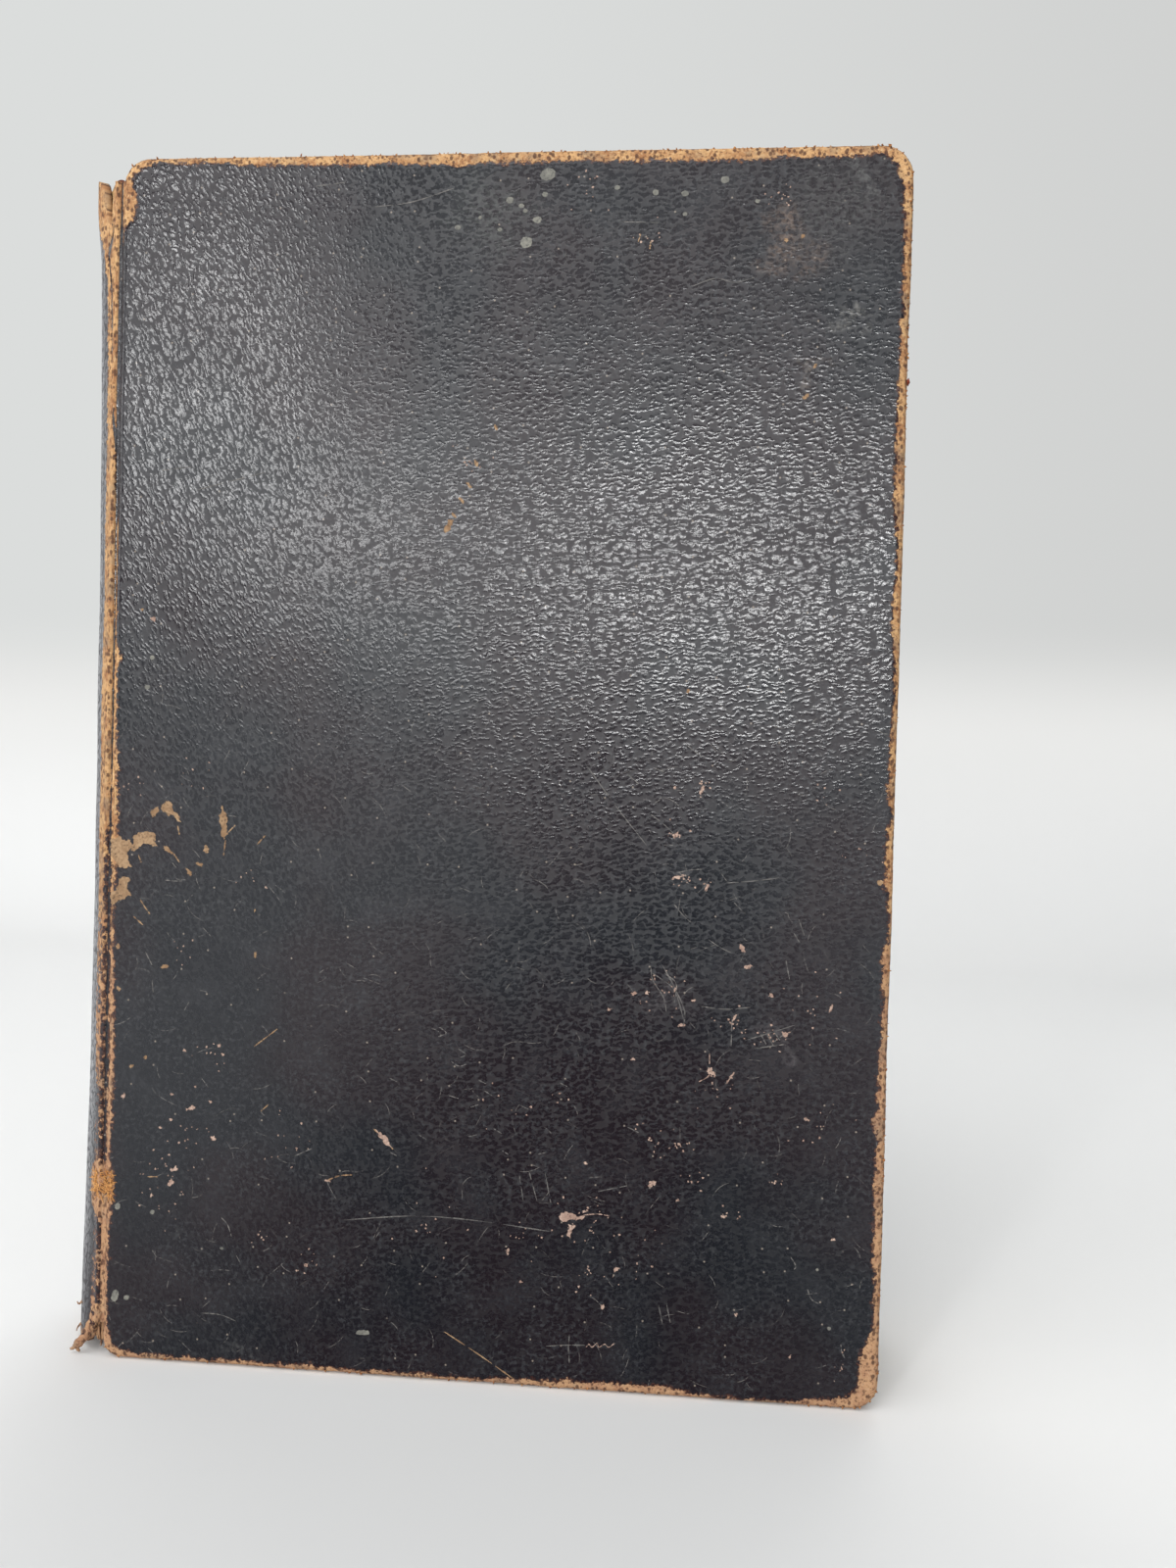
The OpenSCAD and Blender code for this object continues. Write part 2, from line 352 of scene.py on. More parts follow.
def bare_leather(g, rest, pink, stretch):
    """Colour and relief of the raw leather under the black finish."""
    fibrous = g.placed(rest, stretch)
    broad = g.noise(rest, 4.0, 3.0, 0.6)
    fine = g.noise(fibrous, 0.65, 4.0, 0.7)
    colour = g.mix(g.ramp(broad, 0.38, 0.64), TAN, DEEP_TAN)
    colour = g.mix(g.ramp(fine, 0.52, 0.70), colour, PALE_TAN)
    colour = g.mix(pink, colour, PINK_TAN)
    dirt = g.ramp(g.noise(rest, 6.5, 4.0, 0.65), 0.5, 0.68, 0.0, 0.65)
    colour = g.mix(dirt, colour, DIRTY_TAN)
    colour = g.mix(g.ramp(fine, 0.48, 0.38, 0.0, 0.75), colour, DARK_FIBRE)
    near, chance = g.cells(g.placed(rest, (0.8, 1.1, 1.0)), flat=False)
    pits = g.math("MULTIPLY", g.ramp(near, 0.46, 0.31, 0.0, 0.85), g.ramp(g.part(chance, 0), 0.25, 0.4))
    return g.mix(pits, colour, DARK_FIBRE), fine


def pebble_grain(g, rest, across, drift):
    """Rounded pebbles, steep near the joint and level further across, as a height of 0 to 1."""
    wobble = g.vector("SUBTRACT", g.noise(rest, 2.2, 2.0, output="Color", flat=True), (0.5, 0.5, 0.5))
    bent = g.vector("MULTIPLY_ADD", wobble, (1.5, 1.5, 0.0), rest)
    steep, _ = g.cells(g.placed(bent, (1.5, 0.66, 1.0), turn=-63))
    level, _ = g.cells(g.placed(bent, (1.5, 0.7, 1.0), turn=6))
    sideways = g.ramp(g.math("MULTIPLY_ADD", drift, 60.0, across), 45, 100)
    return g.ramp(g.blend(sideways, steep, level), 0.75, 0.0)


def scattered_specks(g, rest, tone):
    """Tone with small pale specks on some places."""
    near, colour = g.cells(g.placed(rest, (5.0, 5.0, 5.0)))
    speck = g.math("MULTIPLY", g.ramp(near, 0.045, 0.02), g.ramp(g.part(colour, 0), 0.62, 0.66))
    return g.mix(speck, tone, PALE_SPECK)


def mottled(g, rest, tone):
    """Tone with grey flecks on the rubbed grain."""
    flecks = g.ramp(g.noise(rest, 0.8, 3.0, 0.7, flat=True), 0.5, 0.66, 0.0, 0.7)
    patches = g.ramp(g.noise(rest, 11.0, 2.0, flat=True), 0.3, 0.65, 0.35, 1.0)
    return g.mix(g.math("MULTIPLY", flecks, patches), tone, RUBBED_AND_SHEEN_GREY)


def hairlines(g, rest, tone, size, strength):
    """Tone with a short bent scratch in many of the cells of the given size."""
    place = g.placed(rest, (size, size, size))
    found = g.add("TexVoronoi", {"Vector": place, "Scale": 1.0}, voronoi_dimensions="2D").outputs
    chance = found["Color"]
    offset = g.vector("SUBTRACT", place, found["Position"])
    angle = g.math("MULTIPLY", g.part(chance, 0), 2 * math.pi)
    turned = g.add("VectorRotate", {"Vector": offset, "Angle": angle}, rotation_type="Z_AXIS").outputs[0]
    along = g.part(turned, 0)
    bend = g.math("MULTIPLY", g.math("MULTIPLY", along, along), g.ramp(g.part(chance, 1), 0, 1, -0.9, 0.9))
    across = g.math("ABSOLUTE", g.math("SUBTRACT", g.part(turned, 1), bend))
    narrow = g.ramp(across, 0.08 / size, 0.03 / size)
    line = g.math("MULTIPLY", narrow, g.ramp(g.math("ABSOLUTE", along), 0.3, 0.15))
    kept = g.math("MULTIPLY", g.ramp(g.part(chance, 2), 0.4, 0.95, 0.0, 0.75), strength)
    broken = g.ramp(g.noise(rest, 0.6, 2.0, flat=True), 0.42, 0.56, 0.1, 1.0)
    share = g.math("MULTIPLY", g.math("MULTIPLY", line, kept), broken)
    return g.mix(share, tone, HAIRLINE)


def add_hazes(g, rest, tone, hazes):
    """Tone with cloudy stains. Each haze is a centre, a radius and a colour."""
    if not hazes:
        return tone
    wobble = g.vector("SUBTRACT", g.noise(rest, 7.0, 3.0, 0.6, output="Color", flat=True), (0.5, 0.5, 0.5))
    ragged = g.vector("MULTIPLY_ADD", wobble, (16.0, 16.0, 0.0), rest)
    cloud = g.ramp(g.noise(rest, 0.9, 3.0, 0.65, flat=True), 0.38, 0.64, 0.05, 0.7)
    for centre, radius, colour in hazes:
        near = g.add("VectorMath", {0: g.placed(ragged, (radius,) * 3, centre=centre)}, operation="LENGTH")
        veil = g.math("MULTIPLY", g.ramp(near.outputs["Value"], 1.3, 0.1), cloud)
        tone = g.mix(veil, tone, colour)
    return tone


def worn_leather(name, grain_from, grain_to, pink_below, hazes=(), stretch=(1, 1, 1)):
    """Black grained leather whose finish is gone wherever the layer called worn is above zero; below zero
    it turns red-brown and then black, which the joints' grooves, the spine's crack and the spine's inner
    face also use as painted shade.

    The grain fades in between the heights grain_from and grain_to, the raw leather turns
    pinkish below pink_below, and stretch draws its fibres out.
    """
    g = Graph(name)
    rest = g.layer("rest", "Vector")
    worn = g.layer("worn")
    height = g.part(rest, 1)
    drift = g.noise(rest, 34.0, 2.0, flat=True)
    pebbles = pebble_grain(g, rest, g.part(rest, 0), drift)
    raised = g.math("MULTIPLY_ADD", drift, 70.0, height)
    strength = g.ramp(raised, grain_from + 35, grain_to + 35, 0.2, 1.0)
    pores = g.noise(rest, 0.36, 2.0, 0.6, flat=True)

    coarse = g.noise(rest, 3.2, 2.0)
    ragged = g.noise(rest, 0.95, 4.0, 0.7)
    frayed = g.math("MULTIPLY_ADD", ragged, 3.2, g.math("SUBTRACT", worn, 2.5))
    frayed = g.math("MULTIPLY_ADD", coarse, 1.8, frayed)
    bare = g.ramp(frayed, -0.05, 0.09)
    scorched = g.ramp(frayed, -0.42, -0.04, 0.0, 0.8)
    pink = g.ramp(height, pink_below + 25, pink_below - 10, 0.05, 0.5)
    raw_colour, fibres = bare_leather(g, rest, pink, stretch)

    tone = g.mix(g.ramp(drift, 0.32, 0.58), BLACK, PLUM_BLACK)
    # Lighter pebble tops and darker hollows: partly rubbed finish, partly painted sheen that shows the
    # grain where no highlight falls.
    rubbing_and_sheen = g.ramp(g.noise(rest, 9.0, 3.0, 0.6, flat=True), 0.45, 0.8, 0.05, 0.6)
    tone = g.mix(g.math("MULTIPLY", pebbles, rubbing_and_sheen), tone, RUBBED_AND_SHEEN_GREY)
    tone = mottled(g, rest, tone)
    scratched = g.ramp(height, 150, 110, 0.25, 1.0)
    for size in (4.5, 7.5):
        tone = hairlines(g, rest, tone, size, scratched)
    tone = scattered_specks(g, rest, tone)
    tone = add_hazes(g, rest, tone, hazes)
    tone = g.mix(scorched, tone, RED_BROWN)

    fine_grain = g.math("MULTIPLY", pores, 0.4)
    grain = g.math("MULTIPLY_ADD", g.math("MULTIPLY", pebbles, strength), 0.85, fine_grain)
    g.bump(g.blend(bare, grain, g.math("MULTIPLY", fibres, 5.6)), 0.03)
    gloss = g.ramp(g.noise(rest, 16.0, 3.0, flat=True), 0.3, 0.7, 0.15, 0.20)
    low_pebbles = g.math("MULTIPLY", pebbles, 0.5)
    crinkle = g.math("MULTIPLY_ADD", g.noise(rest, 0.6, 2.0, flat=True), 0.6, low_pebbles)
    dull = g.ramp(crinkle, 0.55, 0.39, 0.0, 0.29)
    roughness = g.blend(bare, g.math("ADD", gloss, dull), 0.92)
    return g.finish(base_color=g.mix(bare, tone, raw_colour), roughness=roughness, specular_ior_level=0.45)


def scuff_material(name, light, dark, pit, roughness):
    """Bare patch rubbed or torn through the finish."""
    g = Graph(name)
    place = g.place()
    broad = g.noise(place, 2.5, 3.0, 0.6)
    fine = g.noise(place, 0.42, 3.0, 0.7)
    colour = g.mix(g.ramp(broad, 0.35, 0.68), light, dark)
    colour = g.mix(g.ramp(fine, 0.58, 0.46, 0.0, 0.6), colour, dark)
    colour = g.mix(g.ramp(fine, 0.44, 0.32), colour, pit)
    g.bump(fine, 0.05)
    return g.finish(base_color=colour, roughness=roughness, specular_ior_level=0.25)


def page_edge_material():
    """Aged edges of the leaves: fine lines of paper, darker quires, dust and brown blotches."""
    g = Graph("aged_page_edges")
    place = g.place()
    sheets = g.noise(g.placed(place, (180.0, 0.15, 180.0)), 1.0, 2.0, 0.6)
    quires = g.noise(g.placed(place, (300.0, 1.3, 300.0)), 1.0, 1.0)
    dust = g.noise(place, 0.5, 3.0, 0.65)
    blotch = g.noise(place, 34.0, 4.0, 0.6)
    colour = g.mix(g.ramp(sheets, 0.3, 0.7), srgb(152, 122, 83), srgb(212, 188, 146))
    colour = g.mix(g.ramp(quires, 0.56, 0.72, 0.0, 0.5), colour, srgb(134, 101, 64))
    colour = g.mix(g.ramp(dust, 0.54, 0.72, 0.0, 0.35), colour, srgb(118, 92, 62))
    colour = g.mix(g.ramp(blotch, 0.5, 0.75, 0.0, 0.3), colour, srgb(142, 108, 70))
    g.bump(sheets, 0.12)
    return g.finish(base_color=colour, roughness=0.9, specular_ior_level=0.2)


def paper_material():
    """Toned endpaper with fibres and brown spots."""
    g = Graph("toned_endpaper")
    place = g.place()
    cloud = g.noise(place, 38.0, 4.0, 0.6)
    fibre = g.noise(g.placed(place, (2.4, 0.4, 0.7)), 1.0, 3.0, 0.6)
    flat = g.add("CombineXYZ", {0: g.part(place, 0), 1: g.part(place, 2)}).outputs[0]
    near, chance = g.cells(g.placed(flat, (9.0, 9.0, 9.0)))
    reach = g.ramp(g.part(chance, 0), 0.35, 1.0, 0.0, 0.13)
    inside = g.ramp(g.math("SUBTRACT", near, reach), 0.0, -0.06)
    spots = g.math("MULTIPLY", inside, g.ramp(g.noise(place, 30.0), 0.45, 0.62))
    colour = g.mix(g.ramp(cloud, 0.25, 0.8), srgb(200, 185, 155), srgb(178, 157, 121))
    colour = g.mix(g.ramp(fibre, 0.55, 0.8, 0.0, 0.4), colour, srgb(216, 202, 170))
    colour = g.mix(g.math("MULTIPLY", spots, 0.6), colour, srgb(140, 94, 50))
    g.bump(fibre, 0.03)
    return g.finish(base_color=colour, roughness=0.88, specular_ior_level=0.2)


def card_material():
    """Brown pasteboard with flecks of straw."""
    g = Graph("brown_pasteboard")
    place = g.place()
    cloud = g.noise(place, 9.0, 4.0, 0.65)
    fleck = g.noise(g.placed(place, (1.8, 0.4, 0.9)), 1.0, 2.0)
    colour = g.mix(cloud, srgb(150, 118, 80), srgb(182, 152, 108))
    colour = g.mix(g.ramp(fleck, 0.62, 0.72, 0.0, 0.7), colour, srgb(96, 70, 44))
    g.bump(fleck, 0.06)
    return g.finish(base_color=colour, roughness=0.92, specular_ior_level=0.15)


def linen_material():
    """Woven linen: threads over and under each other."""
    g = Graph("woven_linen")
    place = g.place()
    thread = 0.7
    warp = g.math("SINE", g.math("MULTIPLY", g.part(place, 1), 2 * math.pi / thread))
    weft = g.math("SINE", g.math("MULTIPLY", g.part(place, 2), 2 * math.pi / thread))
    weave = g.math("MULTIPLY_ADD", g.math("MULTIPLY", warp, weft), 0.5, 0.5)
    cloud = g.noise(place, 6.0, 4.0, 0.6)
    colour = g.mix(weave, srgb(150, 130, 96), srgb(204, 188, 150))
    colour = g.mix(g.ramp(cloud, 0.5, 0.75, 0.0, 0.5), colour, srgb(128, 100, 64))
    g.bump(weave, 0.12)
    return g.finish(base_color=colour, roughness=0.95, specular_ior_level=0.15)


def thread_material():
    """Faded thread wound in two colours, told apart by the layer called stripe."""
    g = Graph("wound_thread")
    place = g.place()
    fuzz = g.noise(place, 0.25, 3.0, 0.7)
    colour = g.mix(g.layer("stripe"), srgb(104, 60, 47), srgb(168, 148, 112))
    colour = g.mix(g.ramp(fuzz, 0.5, 0.25, 0.0, 0.6), colour, srgb(74, 48, 34))
    g.bump(fuzz, 0.06)
    return g.finish(base_color=colour, roughness=0.8, specular_ior_level=0.25)


def haze(px, py, radius_px, colour):
    """Cloudy stain on the front cover round a pixel of the photograph."""
    place = on_cover(px, py)
    return ((place.x, place.y, 0.0), radius_px * PIXEL, colour)


FRONT_HAZES = [
    haze(804, 248, 34, srgb(104, 88, 78)),
    haze(883, 185, 17, srgb(96, 96, 94)),
    haze(868, 323, 16, srgb(112, 110, 106)),
    haze(826, 380, 16, srgb(92, 84, 78)),
    haze(500, 215, 52, srgb(62, 64, 63)),
    haze(860, 210, 66, srgb(60, 60, 60)),
    haze(232, 1373, 14, srgb(66, 66, 66)),
    haze(680, 1015, 26, srgb(66, 62, 64)),
    haze(800, 1062, 18, srgb(72, 68, 70)),
]
FRONT_LEATHER = worn_leather("front_worn_leather", 40, 125, 75, FRONT_HAZES)
BACK_LEATHER = worn_leather("back_worn_leather", 10, 70, 60)
SPINE_LEATHER = worn_leather("spine_worn_leather", 400, 600, 70, stretch=(0.8, 1.7, 0.8))
TAN_SCUFF = scuff_material("tan_scuff", srgb(166, 138, 107), srgb(130, 102, 76), srgb(72, 57, 46), 0.9)
PINK_SCUFF = scuff_material("pink_scuff", srgb(186, 161, 146), srgb(148, 121, 108), srgb(88, 70, 64), 0.9)
PALE_SPOT = scuff_material("pale_spot", srgb(128, 126, 117), srgb(100, 99, 93), srgb(72, 72, 69), 0.6)
GREY_SCRATCH = scuff_material("grey_scratch", srgb(116, 112, 108), srgb(86, 84, 82), srgb(52, 51, 52), 0.6)
FRAY = scuff_material("frayed_leather", srgb(190, 140, 88), srgb(132, 80, 48), srgb(76, 38, 27), 0.95)
RED_FLAKE = scuff_material("red_flake", srgb(136, 66, 44), srgb(104, 46, 32), srgb(66, 28, 22), 0.9)
TUFT = scuff_material("torn_fibres", srgb(214, 162, 100), srgb(176, 122, 72), srgb(114, 72, 44), 0.95)
PAGE_EDGES = page_edge_material()
ENDPAPER = paper_material()
CARD = card_material()
LINEN = linen_material()
THREAD = thread_material()


# Covers

TAIL_POINTS = 180
FORE_POINTS = 290
CORNER_STEPS = 13


def outline(left, right, low, high, radii):
    """Points round an upright rectangle, the same number for any size, from the joint's tail corner.

    radii round the corners in the same order.
    """
    arcs = []
    for quarter, r in enumerate(radii):
        x = left + r if quarter in (0, 3) else right - r
        y = low + r if quarter in (0, 1) else high - r
        turns = np.radians(180 + 90 * quarter + np.linspace(0, 90, CORNER_STEPS + 1))
        arcs.append(np.column_stack([x + r * np.cos(turns), y + r * np.sin(turns)]))
    points = []
    for i, count in enumerate((TAIL_POINTS, FORE_POINTS, TAIL_POINTS, FORE_POINTS)):
        start, end = arcs[i][-1], arcs[(i + 1) % 4][0]
        shares = np.linspace(0, 1, count + 2)[1:-1, None]
        points += [arcs[i], start + (end - start) * shares]
    return np.vstack(points)


def cover_ring(inset):
    """Outline of a cover, drawn in by inset."""
    radii = [max(r - inset, 0) for r in CORNER_R]
    return outline(inset, COVER_W - inset, inset, COVER_H - inset, radii)


COVER_EDGE = cover_ring(0)
RING_POINTS = len(COVER_EDGE)


def outward(points):
    """Unit normals that point out of a closed outline that runs anticlockwise."""
    run = np.roll(points, -1, axis=0) - np.roll(points, 1, axis=0)
    run /= np.linalg.norm(run, axis=1)[:, None]
    return np.column_stack([run[:, 1], -run[:, 0]])


EDGE_NORMALS = outward(COVER_EDGE)

# Width of the bare band along each edge of the front cover, by distance along that edge.
# Tail and head are measured from the joint, and the joint and fore edge from the tail.
FRONT_WEAR = {
    "tail": [
        (0, 2.2), (5, 1.7), (9, 1.2), (22, 1.1), (32, 1.3), (48, 1.2), (62, 1.1), (76, 1.4),
        (86, 1.7), (95, 2.1), (104, 1.9), (109, 1.0), (116, 0.5), (124, 0.8), (131, 1.8),
        (136, 2.8), (140, 3.2),
    ],
    "fore": [
        (0, 3.6), (5, 3.8), (8.5, 3.5), (12, 2.5), (14, 1.3), (25, 1.3), (27, 1.7), (48, 1.7),
        (50, 2.3), (52, 2.3), (53, 1.7), (61, 1.6), (63, 1.3), (73, 1.3), (80, 1.7), (82, 0.6),
        (87, 0.6), (89, 1.2), (96, 1.5), (101, 1.5), (103, 0.4), (104.5, 0.4), (105.5, 1.3),
        (112, 1.2), (122, 1.0), (130, 1.0), (134, 1.5), (142, 1.5), (145, 1.0), (150, 1.0),
        (156, 1.9), (172, 1.8), (177, 1.4), (205, 1.5), (213, 2.2), (218, 2.6),
    ],
    "head": [
        (0, 1.8), (6, 1.4), (14, 1.3), (26, 2.0), (48, 2.1), (60, 2.6), (76, 2.2), (92, 2.3),
        (104, 2.7), (124, 2.2), (134, 2.0), (140, 2.6),
    ],
    "joint": [
        (0, 2.2), (5, 1.6), (9, 1.0), (26, 1.0), (29, 1.9), (34, 2.0), (37, 1.1), (52, 1.4),
        (66, 1.2), (80, 0.8), (96, 1.6), (112, 1.0), (120, 0.8), (125, 0.4), (128, 1.7), (131, 0.3),
        (146, 0.1), (156, -0.4), (202, -0.5), (205, 0.4), (207, 2.6), (211, 2.8), (214, 1.8),
        (218, 1.8),
    ],
}
BACK_WEAR = {
    "tail": [(0, 2.2), (12, 1.1), (40, 1.3), (80, 0.9), (125, 1.4), (140, 2.8)],
    "fore": [(0, 2.8), (12, 1.5), (60, 0.9), (110, 1.1), (170, 0.8), (205, 1.5), (218, 2.6)],
    "head": [(0, 1.9), (15, 1.2), (60, 1.6), (110, 1.3), (140, 2.6)],
    "joint": [(0, 2.2), (15, 1.2), (80, 1.0), (150, 1.2), (200, 1.1), (218, 1.9)],
}


def wear_round(wear):
    """Width of the bare band at each point round a cover."""
    u, v = COVER_EDGE.T
    sides = (
        ("tail", u, TAIL_POINTS), ("fore", v, FORE_POINTS),
        ("head", u, TAIL_POINTS), ("joint", v, FORE_POINTS),
    )
    bands = []
    start = 0
    for side, along, count in sides:
        stop = start + CORNER_STEPS + 1 + count
        bands.append(spread(wear[side], along[start:stop]))
        start = stop
    return np.concatenate(bands)


# Insets of the rings over a cover's outer face, closer together near the edge
FACE_INSETS = [
    COVER_W / 2, *np.arange(66, 12, -4), 11, 9, 7.4, 6.2, 5.2, 4.4, 3.8, 3.3, 2.9, 2.5, 2.1, 1.8, 1.5,
]


def cover_profile():
    """Rings of a cover's skin from the middle of the outer face, over the edge, to the turned-in leather.

    Each ring has its points in the cover's plane, its depth below the outer face, its inset,
    and how far it lies past the outer rounding.
    """
    rings = []
    for inset in FACE_INSETS:
        rings.append((cover_ring(inset), 0.0, inset, 0.0))
    for turn in np.radians(np.linspace(0, 90, 7)):
        inset = OUTER_EDGE_R * (1 - math.sin(turn))
        rings.append((cover_ring(inset), OUTER_EDGE_R * (1 - math.cos(turn)), inset, 0.0))
    for depth in np.linspace(OUTER_EDGE_R, COVER_T - INNER_EDGE_R, 4)[1:]:
        rings.append((cover_ring(0), depth, 0.0, depth - OUTER_EDGE_R))
    for turn in np.radians(np.linspace(0, 90, 5)[1:]):
        inset = INNER_EDGE_R * (1 - math.cos(turn))
        depth = COVER_T - INNER_EDGE_R * (1 - math.sin(turn))
        rings.append((cover_ring(inset), depth, inset, depth - OUTER_EDGE_R))
    brim = cover_ring(INNER_EDGE_R)
    window = outline(LEATHER_T, COVER_W - TURN_IN_W, TURN_IN_W, COVER_H - TURN_IN_W, (0, 0, 0, 0))
    for share in (0.15, 0.4, 0.7, 0.93, 1.0):
        inset = INNER_EDGE_R + share * (TURN_IN_W - INNER_EDGE_R)
        rings.append((brim + (window - brim) * share, COVER_T, inset, COVER_T))
    rings.append((window, COVER_T - TURN_IN_T, TURN_IN_W, COVER_T))
    return rings


def face_relief(points, seed):
    """How far the outer face dips below flat, from slow warps and small dents."""
    flat = np.column_stack([points, np.zeros(len(points))])
    dips = 0.10 + 0.07 * waver(flat, 42.0, seed) + 0.03 * waver(flat, 13.0, seed + 1)
    u, v = points.T
    from_edge = np.minimum.reduce([u, COVER_W - u, v, COVER_H - v])
    return np.clip(dips, 0, None) * smooth(from_edge, 1, 9)


# How far a cover's edge sways in and is torn in, and how deep bare leather lies and is pitted
EDGE_SWAY = 0.22
EDGE_TEAR = 0.16
BARE_SINK = 0.13
BARE_PIT = 0.05
# Wear of the leather inside the cover
UNWORN = -3.0


def cover_skin(name, side, wear, seed, material):
    """Leather of one cover: side is -1 for the front and 1 for the back."""
    bands = wear_round(wear)
    level_edge = np.column_stack([COVER_EDGE, np.zeros(RING_POINTS)])
    sway = EDGE_SWAY * np.abs(waver(level_edge, 26.0, seed))
    torn = EDGE_TEAR * smooth(bands, 0.4, 1.4)
    points, rest, worn = [], [], []
    rings = cover_profile()
    for plane, depth, inset, past in rings:
        reach = 1 - smooth(inset, 0.0, 3.2)
        bare = bands - inset - 0.9 * past if past < COVER_T else np.full(RING_POINTS, UNWORN)
        local = np.column_stack([plane, np.full(RING_POINTS, depth)])
        skin = np.full(RING_POINTS, depth)
        if depth == 0:
            skin += face_relief(plane, seed)
        if depth < OUTER_EDGE_R:
            pits = BARE_PIT * np.abs(waver(local, 0.8, seed + 3)) + BARE_SINK
            skin += smooth(bare, -0.1, 0.4) * pits
        ragged = sway + torn * np.abs(waver(local, 1.3, seed + 2))
        moved = plane - EDGE_NORMALS * (ragged * reach)[:, None]
        points.append(np.column_stack([JOINT_X + moved[:, 0], side * (OUTER_Y - skin), moved[:, 1]]))
        rest.append(local)
        worn.append(bare)
    faces = ring_faces(len(rings), RING_POINTS)
    last = (len(rings) - 1) * RING_POINTS
    faces.append(tuple(range(last, last + RING_POINTS)))
    layers = {"rest": np.vstack(rest), "worn": np.concatenate(worn)}
    return make_piece(name, np.vstack(points), faces, layers, material)


def add_covers():
    front = cover_skin("front_cover_leather", -1, FRONT_WEAR, FRONT_RELIEF_SEED, FRONT_LEATHER)
    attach(front, "front_cover")
    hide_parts("front_leather")
    back = cover_skin("back_cover_leather", 1, BACK_WEAR, BACK_RELIEF_SEED, BACK_LEATHER)
    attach(back, "back_cover")
    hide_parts("back_leather")


# Spine leather

ARC_COLUMNS = 62
SPINE_ROWS = 230


def spine_half_section():
    """Outer and inner points of the spine's front half, from the lip in the joint to the tip."""
    shoulder = math.asin(RIDGE_Y / SPINE_MIDDLE_R)
    meet = math.acos((SPINE_R ** 2 + SPINE_MIDDLE_R ** 2 - RIDGE_R ** 2) / (2 * SPINE_R * SPINE_MIDDLE_R))
    arc_end = shoulder - meet
    start = Vector((SPINE_X - SPINE_R * math.cos(arc_end), -SPINE_R * math.sin(arc_end)))
    outer, inner = [], []
    for y in np.linspace(RIDGE_Y - LIP_DEPTH, RIDGE_Y, 5)[:-1]:
        outer.append((LIP_X, -y))
        inner.append((RIDGE_X, -(RIDGE_Y - LIP_DEPTH)))
    over_ridge = math.atan2(start.y + RIDGE_Y, start.x - RIDGE_X) - 2 * math.pi
    for turn in np.linspace(0, over_ridge, 11)[:-1]:
        outer.append((RIDGE_X + RIDGE_R * math.cos(turn), -RIDGE_Y + RIDGE_R * math.sin(turn)))
        inner.append((RIDGE_X, -(RIDGE_Y - LIP_DEPTH)))
    inside = SPINE_R - LEATHER_T
    for turn in arc_end * (1 - np.linspace(0, 1, ARC_COLUMNS) ** 1.4):
        outer.append((SPINE_X - SPINE_R * math.cos(turn), -SPINE_R * math.sin(turn)))
        inner.append((SPINE_X - inside * math.cos(turn), -inside * math.sin(turn)))
    return np.array(outer), np.array(inner)


# Height of the torn ends over the front half of the spine, by distance from the lip in the joint
HEAD_EDGE = [
    (0, 213.2), (1.5, 213.5), (2.6, 213.9), (3.4, 214.0), (4.0, 212.6), (4.4, 208.5), (4.9, 206.8),
    (5.6, 207.4), (6.4, 209.6), (7.0, 212.6), (7.5, 214.0), (8.4, 215.3), (9.6, 216.1),
    (10.8, 216.5), (11.6, 216.2), (12.2, 215.0), (12.8, 213.6), (13.4, 213.0), (15, 214.0),
    (17, 216.0), (22, 216.2),
]
TAIL_EDGE = [
    (0, 7.0), (1.5, 6.6), (2.6, 6.2), (3.4, 4.8), (4.3, 3.2), (5.2, 2.2), (7, 1.4), (10, 1.0),
    (22, 0.7),
]
# Where the bare stretch beside the front joint starts and ends, from the lip in the joint, by height
SPINE_WEAR_FROM = [
    (0, 0.5), (8, 0.6), (26, 0.6), (29, -1), (34, -1), (36, 2.4), (96, 2.4), (101, -1), (150, -0.5),
    (156, 1.5), (204, 1.2), (206, -1), (218, -1),
]
SPINE_WEAR_TO = [
    (0, 6.5), (8, 5.0), (12, 4.6), (26, 4.6), (29, 6.4), (34, 6.4), (36, 4.4), (52, 5.2), (70, 5.6),
    (96, 6.0), (120, 6.0), (150, 6.0), (171, 5.6), (196, 6.0), (202, 8.0), (208, 10.5), (217, 12.0),
]
# Most that the finish is worn through beside the front joint, by height
SPINE_WEAR_MOST = [
    (0, 3), (8, 3), (10, -0.15), (26, -0.15), (28, 3), (34, 3), (36, -0.2), (49, -0.25), (53, 0.4),
    (60, 0.25), (66, 0.0), (80, 0.2), (90, 0.8), (97, 3), (218, 3),
]
# Share of the wear that is lacking between the lip and the bare stretch
SPINE_WEAR_FADE = 0.22
# Crack in the bare leather beside the front joint, from the lip in the joint, by height
CRACK = [
    (160, 1.4), (168, 2.0), (178, 3.7), (196, 4.7), (199.5, 5.6), (201.5, 6.1), (203.5, 5.2),
    (205.5, 4.3), (207, 4.9), (213, 4.9),
]
CRACK_FROM = 166
CRACK_GAPE = 203
# How far the spine leather stands off its round by height, the most that it is pressed in,
# and how far its torn tongue at the head stands off
SPINE_SWELL = [
    (0, 0.4), (12, 0.35), (45, -0.4), (80, -0.6), (150, -0.6), (180, -0.25), (200, 0.1), (218, 0.3),
]
SPINE_PRESS_MOST = 0.7
TONGUE_FLARE = 0.55


def row_shares():
    """Shares of the height from tail to head, closer together near both ends."""
    even = np.linspace(0, 1, SPINE_ROWS)
    return even - 0.09 * np.sin(2 * math.pi * even)


def spine_columns():
    """Section of the whole spine leather, with each column's distance from the nearer joint."""
    outer, inner = spine_half_section()
    steps = np.linalg.norm(np.diff(outer, axis=0), axis=1)
    away = np.concatenate([[0], np.cumsum(steps)])
    flip = np.array([1, -1])
    outer = np.vstack([outer, outer[-2::-1] * flip])
    inner = np.vstack([inner, inner[-2::-1] * flip])
    run = np.concatenate([away, 2 * away[-1] - away[-2::-1]])
    away = np.concatenate([away, away[-2::-1]])
    return outer, inner, away, run


